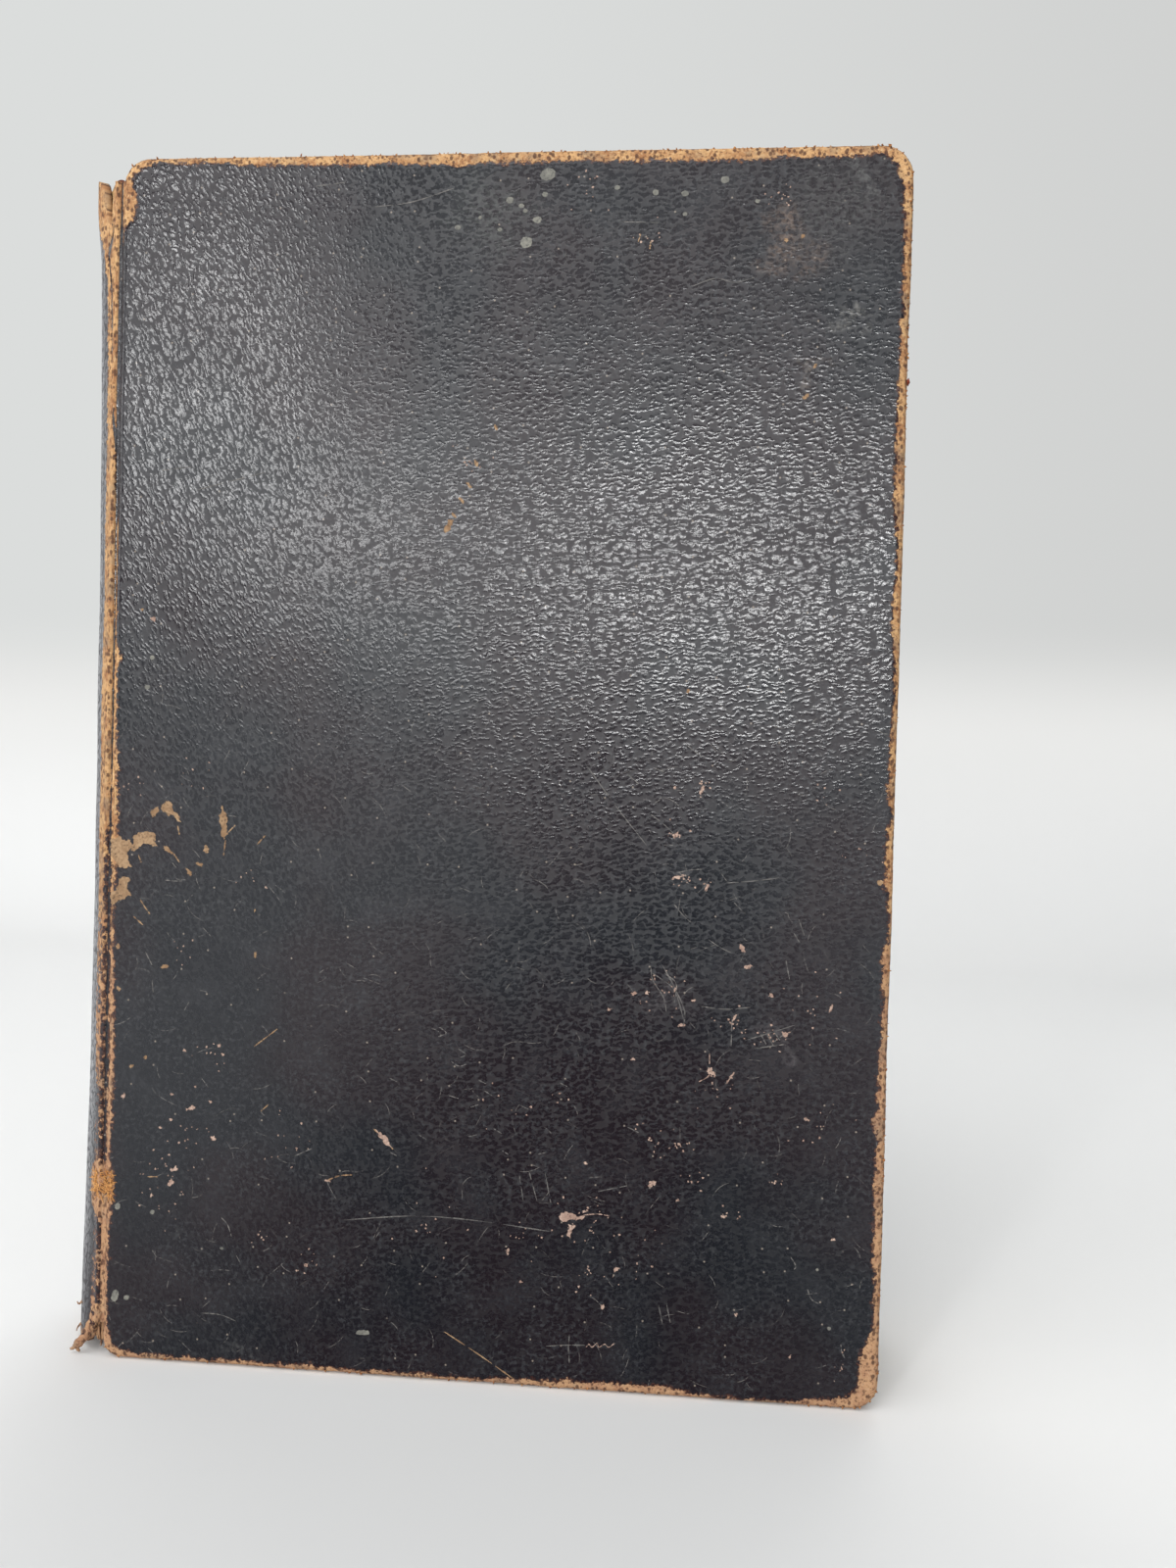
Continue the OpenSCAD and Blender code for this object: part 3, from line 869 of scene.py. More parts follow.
def spine_ends(away, run):
    """Lower and upper end of every column, ragged, with the tears at the front joint only."""
    front = run <= run[-1] / 2
    line = np.column_stack([run, np.zeros_like(run), np.zeros_like(run)])
    rough = 0.5 * waver(line, 1.1, 3.0) + 0.4 * waver(line, 0.45, 4.0)
    high = np.where(front, spread(HEAD_EDGE, away), SPINE_Z1 - 0.6)
    low = np.where(front, spread(TAIL_EDGE, away), SPINE_Z0 + 0.3)
    high = np.minimum(high + 0.5 * rough, SPINE_Z1)
    low = np.maximum(low + 0.5 * waver(line, 0.8, 6.0), 0.3)
    return low, high


def crack_share(away, run, z):
    """How fully each point lies in the crack beside the front joint."""
    width = 0.28 + 0.48 * np.exp(-((z - CRACK_GAPE) / 2.4) ** 2)
    wander = 0.12 * waver(np.column_stack([z, z * 0, z * 0]), 3.0, 15.0)
    share = np.exp(-((away - spread(CRACK, z) - wander) / width) ** 2)
    return share * smooth(z, CRACK_FROM - 3, CRACK_FROM + 4) * (run <= run[-1] / 2)


def spine_wear(away, run, z, low, high):
    """How far inside the bare leather each point of the spine lies."""
    inside = away - spread(SPINE_WEAR_FROM, z)
    inside = np.where(inside < 0, inside * SPINE_WEAR_FADE, inside)
    front = np.minimum(inside, spread(SPINE_WEAR_TO, z) - away)
    front = np.minimum(front, spread(SPINE_WEAR_MOST, z))
    joint_wear = np.where(run <= run[-1] / 2, front, 3.6 - away)
    end_wear = 1.7 - np.minimum(z - low, high - z)
    return np.maximum(joint_wear, end_wear)


def spine_skin():
    """Leather over the rounded spine, worn beside the joints and torn at the front one.

    It is a bundle of lists that loose bits of leather can be added to.
    """
    outer, inner, away, run = spine_columns()
    low, high = spine_ends(away, run)
    count = len(run)
    rim = np.array([SPINE_X, 0.0]) - outer
    rim /= np.linalg.norm(rim, axis=1)[:, None]
    points, rest, worn = [], [], []
    for share in row_shares():
        z = low + (high - low) * share
        flat = np.column_stack([run, z, np.zeros(count)])
        stripes = waver(flat * (1, 0.03, 1), 1.5, 8.0)
        crush = 0.10 * stripes + 0.16 * waver(flat, 18.0, 9.0)
        crush -= spread(SPINE_SWELL, z) * smooth(away, 3.5, 8.5)
        crush -= TONGUE_FLARE * smooth(z, 201, 212) * smooth(away, 6, 9) * (run <= run[-1] / 2)
        crush = np.minimum(crush, SPINE_PRESS_MOST)
        crack = crack_share(away, run, z)
        sunk = outer + rim * (crush * smooth(away, 2.6, 4.5) + 0.5 * crack)[:, None]
        plane = np.vstack([sunk, inner[::-1]])
        heights = np.concatenate([z, z[::-1]])
        points.append(np.column_stack([plane, heights]))
        rest.append(np.vstack([flat, flat[::-1]]))
        bare = spine_wear(away, run, z, low, high)
        # Points in the crack get a worn value well below zero, which paints the crack dark: painted shade
        # in the gap.
        bare -= crack * (np.maximum(bare, 0) + 2.4)
        # The inner face gets a worn value of zero, a mix of bare tan and dark brown: the flesh side's own
        # brown plus painted shade inside the torn head.
        worn.append(np.concatenate([bare, np.full(count, 0.0)]))
    faces = ring_faces(SPINE_ROWS, 2 * count)
    last = (SPINE_ROWS - 1) * 2 * count
    for base in (0, last):
        end = base + 2 * count - 1
        faces += [(base + i, base + i + 1, end - 1 - i, end - i) for i in range(count - 1)]
    return {
        "points": list(map(tuple, np.vstack(points))),
        "faces": faces,
        "rest": list(map(tuple, np.vstack(rest))),
        "worn": list(np.concatenate(worn)),
    }


def add_bit(skin, points, faces, bare):
    """Adds a loose bit of bare leather to a skin."""
    base = len(skin["points"])
    skin["points"] += [tuple(p) for p in points]
    skin["faces"] += [tuple(base + i for i in face) for face in faces]
    skin["rest"] += [(p[0], p[2], p[1]) for p in points]
    skin["worn"] += [bare] * len(points)


def ribbon(path, widths, thickness, across, dice, jag):
    """Ragged closed strip along a path, with its width measured along the across direction."""
    across = Vector(across).normalized()
    points = []
    for i, (place, width) in enumerate(zip(path, widths)):
        ahead = Vector(path[min(i + 1, len(path) - 1)]) - Vector(path[max(i - 1, 0)])
        side = (across - across.project(ahead)).normalized()
        face = ahead.cross(side).normalized() * thickness / 2
        left = side * (width / 2 + dice.uniform(-jag, jag))
        right = side * (width / 2 + dice.uniform(-jag, jag))
        place = Vector(place)
        points += [place - left - face, place + right - face, place + right + face, place - left + face]
    return points, tube_faces(len(path), 4)


def curve_through(stops, count):
    """Points spaced along a smooth curve through the stops."""
    stops = [Vector(s) for s in stops]
    ends = [2 * stops[0] - stops[1], *stops, 2 * stops[-1] - stops[-2]]
    path = []
    for share in np.linspace(0, len(stops) - 1, count):
        i = min(int(share), len(stops) - 2)
        t = share - i
        a, b, c, d = ends[i:i + 4]
        path.append(0.5 * (2 * b + (c - a) * t + (2 * a - 5 * b + 4 * c - d) * t ** 2
                           + (3 * b - a - 3 * c + d) * t ** 3))
    return path


# Loose strip at the tail of the front joint, from where it still holds to its two torn tips
FLAP = [
    [(-66.0, -16.35, 8.6), (-66.9, -16.5, 6.2), (-68.6, -16.4, 3.4), (-70.2, -16.2, 1.5)],
]
FLAP_TIPS = [
    [(-69.8, -16.25, 1.9), (-70.7, -16.2, 1.1), (-71.3, -16.0, 0.9)],
    [(-69.6, -16.2, 1.9), (-69.9, -16.0, 0.9), (-69.6, -15.8, 0.4)],
]
# Fibres left standing inside the tail tear and shreds along the tail of the spine
TAIL_SHREDS = [
    [(-66.0, -15.6, 7.6), (-66.2, -15.5, 5.0), (-66.0, -15.3, 2.6)],
    [(-65.8, -15.2, 7.6), (-65.7, -15.0, 4.6), (-65.8, -15.2, 1.4)],
    [(-66.6, -15.3, 6.8), (-66.8, -15.0, 4.4), (-66.5, -14.9, 2.4)],
]
SPINE_SHREDS = [
    [(-72.5, -9.4, 7.0), (-73.1, -9.8, 6.1), (-73.6, -9.7, 6.5)],
    [(-72.6, -9.3, 2.6), (-73.3, -9.7, 1.7), (-73.7, -9.5, 0.8)],
]


# Loose bits: their paths, the points along each, its width at both ends, thickness, raggedness and wear
LOOSE_BITS = [
    (FLAP, 22, (1.9, 1.3), 0.55, 0.16, 0.45),
    (FLAP_TIPS, 9, (0.8, 0.25), 0.35, 0.09, 0.7),
    (TAIL_SHREDS, 10, (0.7, 0.2), 0.3, 0.1, 0.9),
    (SPINE_SHREDS, 12, (0.34, 0.1), 0.2, 0.05, 0.9),
]
# Direction in which the width of a loose bit is measured
BIT_ACROSS = (1, 0, 0.35)


def add_spine():
    dice = random.Random(SPINE_SEED)
    skin = spine_skin()
    for paths, count, ends, thickness, jag, bare in LOOSE_BITS:
        widths = np.linspace(*ends, count)
        for stops in paths:
            points, faces = ribbon(curve_through(stops, count), widths, thickness, BIT_ACROSS, dice, jag)
            add_bit(skin, points, faces, bare)
    points, faces = skin["points"], skin["faces"]
    layers = {"rest": skin["rest"], "worn": skin["worn"]}
    spine = make_piece("spine_cover_leather", points, faces, layers, SPINE_LEATHER)
    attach(spine, "block")
    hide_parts("spine_leather")


# Tuft of torn fibres across the front joint, by height
TUFT_LOW = 29.6
TUFT_HIGH = 34.2


def front_surface(x):
    """How far forward the cover's edge, or the ridge and round of the spine, stands at x."""
    if x > JOINT_X:
        inset = max(OUTER_EDGE_R - (x - JOINT_X), 0)
        return OUTER_Y - OUTER_EDGE_R + math.sqrt(OUTER_EDGE_R ** 2 - inset ** 2)
    if x > RIDGE_X - RIDGE_R:
        return RIDGE_Y + math.sqrt(max(RIDGE_R ** 2 - (x - RIDGE_X) ** 2, 0))
    return math.sqrt(SPINE_R ** 2 - (x - SPINE_X) ** 2)


def add_tuft(name, body, left, right, rise_most, count, seed):
    """Fine fibres standing out of the bare leather between left and right."""
    dice = random.Random(seed)
    parts = []
    for _ in range(count):
        x = dice.uniform(left, right)
        root = Vector((x, 0.12 - front_surface(x), dice.uniform(TUFT_LOW, TUFT_HIGH)))
        lean = Vector((dice.uniform(-0.8, 0.8), 0, dice.uniform(-1, 1))).normalized()
        lean *= dice.uniform(0.5, 1.6)
        rise = Vector((0, -dice.uniform(0.12, rise_most), 0))
        path = curve_through([root, root + lean / 2 + rise, root + lean + rise * dice.uniform(0.1, 1)], 7)
        across = (-lean.z, 0, lean.x)
        parts.append(ribbon(path, np.linspace(0.2, 0.06, 7), 0.1, across, dice, 0.02))
    points, faces = joined(parts)
    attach(make_piece(name, points, faces, {}, TUFT), body)


def add_tufts():
    cover_stretch = (JOINT_X + 0.2, JOINT_X + 1.7)
    spine_stretch = (RIDGE_X - 1.3, RIDGE_X + 0.5)
    add_tuft("cover_joint_fibres", "front_cover", *cover_stretch, 0.22, 70, COVER_FIBRE_SEED)
    add_tuft("spine_joint_fibres", "block", *spine_stretch, 0.26, 80, SPINE_FIBRE_SEED)


# Joints

JOINT_ROWS = 300
# How far the leather down in a joint is worn through, by height
JOINT_WEAR = [
    (0, 0.8), (27, 0.9), (29, 1.2), (34, 1.2), (37, 0.1), (60, -0.1), (96, 0.1), (104, 0.6),
    (150, 0.6), (156, -1.0), (204, -1.0), (206, 0.8), (218, 0.8),
]
# Depth of the groove along a joint, by height; the deeper the groove, the darker its painted shade
JOINT_GROOVE = [
    (0, 0.06), (34, 0.06), (37, 0.2), (100, 0.2), (110, 0.35), (165, 0.35), (174, 0.08),
    (203, 0.08), (207, 0.35), (218, 0.4),
]


# Section of that leather: across from its lowest line, and out from the middle of the book
JOINT_SECTION = [
    (-0.65, 16.42), (-0.42, 16.46), (-0.2, 16.44), (0, 16.42), (0.22, 16.46), (0.45, 16.48),
    (0.7, 16.5), (0.7, 16.1), (0.45, 16.0), (0.22, 15.75), (0, 15.6), (-0.2, 15.75), (-0.42, 16.0),
    (-0.65, 16.0),
]
JOINT_BOTTOM = JOINT_X - 0.2
# The section's hidden side lies further in than this
JOINT_INNER_Y = 16.3
# Heights between which the leather in each joint still holds
FRONT_JOINT_SPAN = (6.4, 213.8)
BACK_JOINT_SPAN = (1.4, 215.4)


def add_joint_leather(name, side, span):
    """Strip of leather down in a joint."""
    z0, z1 = span
    points, rest, worn = [], [], []
    for z in np.linspace(z0, z1, JOINT_ROWS):
        sway = 0.06 * noise.noise(Vector((0.0, side, z / 1.7)))
        patchy = 0.6 * noise.noise(Vector((side, 3.0, z / 2.6)))
        tan = spread(JOINT_WEAR, z) + patchy
        groove = spread(JOINT_GROOVE, z)
        for x, y in JOINT_SECTION:
            inner = y < JOINT_INNER_Y
            dip = 0 if inner else groove * math.exp(-(x / 0.2) ** 2)
            points.append((JOINT_BOTTOM + x, side * (y - dip - 0.03 + sway), z))
            rest.append((JOINT_BOTTOM + x - JOINT_X, z, y))
            # In the middle of the groove the worn layer drops below zero, which paints the crease dark:
            # painted shade.
            worn.append(tan - 4.0 * dip)
    faces = tube_faces(JOINT_ROWS, len(JOINT_SECTION))
    piece = make_piece(name, points, faces, {"rest": rest, "worn": worn}, SPINE_LEATHER)
    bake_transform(piece)


# Fold of endpaper: distance in from the joint, and share of the way from the flyleaf to the cover
HINGE_STOPS = [
    (3.5, 0), (1.9, 0), (0.7, 0), (0.2, 0), (-0.02, 0.5), (0.2, 1), (0.7, 1), (1.9, 1), (3.5, 1),
]
HINGE_GAP = 0.06
HINGE_HALF_T = 0.03
HINGE_CLEAR = 0.3
HINGE_ROWS = 40


def add_endpaper_hinge(name, side):
    """Fold of endpaper between a flyleaf and the paper inside its cover."""
    near = FLYLEAF_Y + HINGE_GAP
    far = INNER_Y - HINGE_GAP
    path = [Vector((JOINT_X + x, side * (near + share * (far - near)))) for x, share in HINGE_STOPS]
    section = []
    for sign in (1, -1):
        row = []
        for i, place in enumerate(path):
            ahead = path[min(i + 1, len(path) - 1)] - path[max(i - 1, 0)]
            row.append(place + sign * HINGE_HALF_T * Vector((-ahead.y, ahead.x)).normalized())
        section += row if sign > 0 else row[::-1]
    rows = np.linspace(TURN_IN_W + HINGE_CLEAR, COVER_H - TURN_IN_W - HINGE_CLEAR, HINGE_ROWS)
    points = [(p.x, p.y, z) for z in rows for p in section]
    faces = tube_faces(HINGE_ROWS, len(section))
    piece = make_piece(name, points, faces, {}, ENDPAPER)
    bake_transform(piece)


def add_joints():
    add_joint_leather("front_joint_leather", -1, FRONT_JOINT_SPAN)
    add_joint_leather("back_joint_leather", 1, BACK_JOINT_SPAN)
    add_endpaper_hinge("front_endpaper_hinge", -1)
    add_endpaper_hinge("back_endpaper_hinge", 1)


# Leaves and bands

LEAF_SLICES = 171
QUIRE_SLICES = 10
LEAF_LONG_POINTS = 70
LEAF_FORE_POINTS = 80
LEAF_BACK_POINTS = 24
# How far quires and sheets stand back, how deep the gap between quires is, and the edges' wave
QUIRE_UNEVEN = 0.16
SHEET_UNEVEN = 0.12
QUIRE_GAP = 0.14
EDGE_WAVE = 0.05


def leaf_ring(back, fore):
    """Outline of one leaf, from the back along the tail, up the fore edge and back along the head."""
    low, high, r = LEAVES_Z0, LEAVES_Z1, LEAF_CORNER_R
    tail = [(x, low) for x in np.linspace(back, fore - r, LEAF_LONG_POINTS)[:-1]]
    turns = np.radians(np.linspace(-90, 0, 11))
    near = [(fore - r + r * math.cos(a), low + r + r * math.sin(a)) for a in turns]
    edge = [(fore, z) for z in np.linspace(low + r, high - r, LEAF_FORE_POINTS)[1:-1]]
    far = [(fore - r + r * math.cos(-a), high - r + r * math.sin(-a)) for a in turns[::-1]]
    head = [(x, high) for x in np.linspace(fore - r, back, LEAF_LONG_POINTS)[1:]]
    spine = [(back, z) for z in np.linspace(high, low, LEAF_BACK_POINTS)[1:-1]]
    return np.array(tail + near + edge + far + head + spine)


def add_leaves():
    """Block of leaves with its rounded back, hollow fore edge and uneven sheets."""
    dice = random.Random(LEAF_SEED)
    points = []
    quire_shift = 0.0
    for i, y in enumerate(np.linspace(-LEAVES_HALF_T, LEAVES_HALF_T, LEAF_SLICES)):
        back = SPINE_X - math.sqrt(LEAVES_R ** 2 - y ** 2)
        fore = LEAF_X - FORE_HOLLOW + FORE_EDGE_R - math.sqrt(FORE_EDGE_R ** 2 - y ** 2)
        if i % QUIRE_SLICES == 0:
            quire_shift = dice.uniform(0.0, QUIRE_UNEVEN)
        gap = QUIRE_GAP if i % QUIRE_SLICES == 0 else 0.0
        trim = quire_shift + gap + dice.uniform(0.0, SHEET_UNEVEN)
        ring = leaf_ring(back, fore)
        solid = np.column_stack([ring[:, 0], np.full(len(ring), y), ring[:, 1]])
        drawn = trim + EDGE_WAVE * np.abs(waver(solid, 7.0, 21.0))
        edge_out = outward(ring)
        moved = ring - edge_out * (drawn * (ring[:, 0] > back + 2))[:, None]
        points.append(np.column_stack([moved[:, 0], np.full(len(ring), y), moved[:, 1]]))
    faces = tube_faces(LEAF_SLICES, len(points[0]))
    leaves = make_piece("leaves", np.vstack(points), faces, {}, PAGE_EDGES)
    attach(leaves, "block")
    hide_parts("text_block")


THREAD_PITCH = 0.62
TURNS_PER_COLOUR = 3
ROWS_PER_TURN = 6
BEAD_SIDES = 18
BAND_CLOTH_H = 8.0
CLOTH_R = LEAVES_R + 0.35
CLOTH_T = 0.3
CLOTH_ROWS = 40
BEAD_HALF_ANGLE = 0.94 * BAND_HALF_ANGLE


def band_bead(base, up):
    """Cord wound with thread along the end of the leaves, from base in the direction up."""
    bead_r = LEAVES_R - BAND_R / 2
    length = 2 * BEAD_HALF_ANGLE * bead_r
    turns = int(length / THREAD_PITCH)
    rows = turns * ROWS_PER_TURN + 1
    points, stripe = [], []
    for row in range(rows):
        angle = BEAD_HALF_ANGLE * (2 * row / (rows - 1) - 1)
        turn = row / ROWS_PER_TURN
        for i in range(BEAD_SIDES):
            around = 2 * math.pi * i / BEAD_SIDES
            wound = abs(math.sin(math.pi * (turn + 0.12 * math.sin(around))))
            r = BAND_R - 0.16 + 0.15 * wound
            radius = bead_r + r * math.cos(around)
            z = base + up * (BAND_R + BAND_GLUE + r * math.sin(around))
            points.append((SPINE_X - radius * math.cos(angle), radius * math.sin(angle), z))
            stripe.append(float(int(turn / TURNS_PER_COLOUR) % 2))
    return points, tube_faces(rows, BEAD_SIDES), stripe


def band_cloth(base, up):
    """Strip of cloth that holds the bead to the back of the leaves."""
    inside = CLOTH_R - CLOTH_T
    section = [(CLOTH_R, -BAND_CLOTH_H), (CLOTH_R, BAND_R), (inside, BAND_R), (inside, -BAND_CLOTH_H)]
    points = []
    for angle in np.linspace(-BAND_HALF_ANGLE, BAND_HALF_ANGLE, CLOTH_ROWS):
        points += [(SPINE_X - r * math.cos(angle), r * math.sin(angle), base + up * z) for r, z in section]
    return points, tube_faces(CLOTH_ROWS, len(section))


def add_band(name, node, base, up):
    bead_points, bead_faces, stripe = band_bead(base, up)
    cloth_points, cloth_faces = band_cloth(base, up)
    points, faces = joined([(bead_points, bead_faces), (cloth_points, cloth_faces)])
    layers = {"stripe": stripe + [1.0] * len(cloth_points)}
    band = make_piece(name, points, faces, layers, THREAD)
    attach(band, "block")
    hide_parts(node)


def add_block():
    add_leaves()
    add_band("headband_threads", "headband", LEAVES_Z1, 1)
    add_band("tailband_threads", "tailband", LEAVES_Z0, -1)


# Marks on the front cover, in pixels of the photograph

# Patches torn through the finish, by their outlines
TORN_PATCHES = [
    [(164, 825), (167, 820), (172, 817), (176, 825), (181, 830), (185, 839), (181, 838), (177, 831),
     (172, 833), (166, 828)],
    [(153, 829), (156, 826), (161, 823), (162, 828), (158, 833), (155, 835)],
    [(134, 864), (137, 852), (142, 849), (150, 848), (157, 850), (157, 859), (161, 864), (155, 863),
     (148, 861), (141, 866), (134, 868)],
    [(113, 856), (121, 853), (125, 857), (133, 857), (134, 864), (130, 870), (130, 877), (135, 884),
     (128, 886), (121, 884), (117, 878), (113, 867)],
    [(121, 897), (127, 894), (133, 898), (130, 904), (132, 910), (134, 914), (128, 917), (121, 918),
     (116, 923), (114, 910), (120, 904)],
    [(227, 822), (230, 829), (232, 836), (231, 845), (233, 851), (229, 857), (225, 850), (224, 840),
     (223, 832), (225, 824)],
    [(167, 863), (172, 865), (177, 871), (172, 870), (168, 868)],
    [(210, 862), (213, 870), (207, 868)],
    [(457, 530), (463, 530), (460, 540), (455, 545), (453, 540)],
]
PINK_PATCHES = [
    [(577, 1236), (584, 1238), (597, 1241), (588, 1246), (580, 1245), (574, 1247), (570, 1242)],
    [(383, 1152), (389, 1156), (396, 1164), (400, 1172), (393, 1168), (386, 1160)],
    [(580, 1249), (587, 1250), (583, 1256), (582, 1264), (578, 1260), (580, 1255)],
]
# Small scuffs: centre, length, width and lean
TAN_BLOTS = [
    (203, 882, 8, 4, -25), (193, 890, 11, 4, -60), (168, 986, 8, 6, 0), (260, 974, 7, 3, 80),
    (260, 929, 4, 2, 80), (145, 622, 4, 3, 0), (148, 1079, 5, 4, 0), (134, 1088, 6, 4, 30),
    (823, 404, 8, 5, 50), (832, 373, 6, 3, 60), (506, 436, 7, 4, -50), (486, 473, 10, 3, -65),
    (478, 495, 9, 3, -60), (471, 511, 9, 3, -55), (463, 526, 6, 3, -60), (802, 245, 5, 4, 0),
    (819, 241, 4, 4, 0), (898, 901, 6, 5, 0), (702, 705, 4, 3, 60), (120, 966, 6, 4, 80),
    (121, 1009, 6, 5, 0),
]
PINK_BLOTS = [
    (157, 631, 7, 5, 0), (193, 1132, 13, 4, 8), (725, 1094, 10, 5, -50), (693, 1168, 4, 3, 0),
    (665, 1207, 5, 3, 0), (745, 1101, 15, 3, 57), (696, 1046, 8, 4, 30), (689, 1009, 6, 3, 70),
    (622, 1030, 5, 3, 0), (217, 1162, 6, 4, 30), (716, 806, 8, 4, 70), (689, 803, 4, 3, 60),
    (646, 1014, 6, 4, 0), (660, 1013, 4, 4, 0), (708, 1021, 5, 3, 0), (750, 1038, 9, 3, 60),
    (787, 1016, 5, 4, 0), (801, 1055, 7, 4, -40), (848, 1029, 8, 3, 70), (596, 1236, 4, 3, 0),
    (629, 1295, 6, 4, 30), (615, 1333, 6, 4, 60), (751, 1342, 4, 3, 80), (665, 1208, 12, 4, 15),
    (823, 1142, 5, 3, -30), (758, 967, 9, 5, -60), (764, 987, 9, 5, 10), (690, 852, 8, 3, 60),
    (690, 895, 14, 4, 10), (722, 905, 8, 3, 60), (646, 1081, 5, 3, 0), (850, 1265, 4, 3, 0),
    (334, 1205, 7, 3, -10), (691, 1225, 4, 3, 0), (738, 1242, 4, 3, 0), (806, 1385, 5, 3, 60),
    (126, 1118, 6, 4, 70), (188, 1072, 5, 3, 0), (223, 1067, 4, 3, 0), (227, 1076, 4, 3, 0),
    (175, 1117, 4, 3, 0), (199, 1109, 3, 3, 0), (214, 1124, 4, 3, 0), (174, 1143, 4, 3, 0),
    (163, 1151, 4, 3, 0), (174, 1207, 7, 5, 60), (154, 1220, 4, 4, 0), (177, 1193, 9, 4, 20),
    (575, 1222, 4, 3, 70), (597, 1187, 4, 3, 0), (518, 1277, 7, 4, 80), (531, 1308, 4, 3, 0),
    (312, 1291, 5, 4, 0),
]
PALE_BLOTS = [
    (537, 247, 13, 12, 0), (559, 178, 16, 13, 20), (556, 198, 6, 5, 0), (520, 204, 8, 7, 0),
    (532, 210, 6, 5, 0), (548, 224, 9, 7, 0), (510, 234, 5, 4, 0), (467, 232, 7, 5, 0),
    (490, 222, 4, 4, 0), (630, 191, 6, 5, 0), (669, 196, 6, 6, 0), (699, 197, 8, 6, 0),
    (699, 218, 5, 4, 0), (740, 183, 9, 7, 0), (773, 205, 5, 4, 0), (117, 1322, 13, 8, 80),
    (129, 1324, 7, 5, 30), (370, 1360, 16, 6, 4), (155, 1237, 5, 5, 0), (226, 1274, 4, 3, 0),
    (155, 671, 5, 5, 0), (150, 701, 6, 5, 0), (834, 1296, 3, 3, 0), (846, 1356, 4, 4, 0),
    (120, 1231, 8, 6, 80), (536, 215, 5, 4, 0),
]
# Clusters of small specks: centre, reach and count
SPECK_CLUSTERS = [
    (716, 800, 14, 10), (696, 894, 12, 8), (718, 903, 10, 6), (676, 1012, 30, 22),
    (748, 1045, 24, 18), (786, 1058, 22, 16), (728, 1112, 26, 14), (690, 1168, 26, 18),
    (665, 1160, 20, 8), (705, 1205, 16, 8), (790, 1207, 10, 8), (752, 1240, 20, 8),
    (586, 1244, 26, 16), (620, 1240, 24, 8), (600, 1300, 40, 14), (650, 1290, 40, 12),
    (530, 1260, 30, 10), (170, 1190, 30, 18), (190, 1160, 30, 12), (160, 1230, 30, 12),
    (215, 1075, 20, 10), (185, 970, 22, 8), (255, 900, 20, 8), (130, 800, 22, 10),
    (200, 790, 24, 8), (300, 1160, 40, 16), (315, 1290, 16, 8), (265, 1262, 12, 6),
    (830, 1030, 40, 14), (840, 1150, 40, 10), (540, 1130, 50, 14), (430, 1250, 60, 14),
    (800, 200, 20, 14), (660, 240, 24, 8), (860, 1400, 24, 8), (600, 190, 40, 12),
    (480, 470, 24, 10), (690, 850, 16, 8), (880, 870, 24, 6), (840, 810, 20, 6),
]
# Scratches, by the stops that each runs through
TAN_STROKES = [
    [(230, 857), (228, 873)], [(177, 871), (183, 880)], [(143, 918), (148, 926), (153, 933)],
    [(136, 935), (146, 944)], [(141, 872), (144, 880)], [(181, 842), (183, 852)],
    [(150, 1201), (161, 1201)], [(381, 1152), (390, 1160), (401, 1173)],
    [(453, 1359), (488, 1382), (524, 1407)], [(283, 1050), (259, 1068)], [(274, 1127), (266, 1134)],
    [(333, 1205), (346, 1200), (359, 1199)], [(651, 247), (654, 238)], [(663, 254), (664, 246)],
    [(232, 850), (240, 842)], [(262, 862), (271, 852)],
]
PINK_STROKES = [
    [(598, 1375), (601, 1372), (604, 1375), (609, 1371), (611, 1375), (617, 1372), (621, 1375),
     (627, 1371)],
    [(727, 1091), (722, 1099), (713, 1104)], [(724, 1075), (724, 1086)],
    [(595, 1240), (610, 1239), (622, 1241)],
]
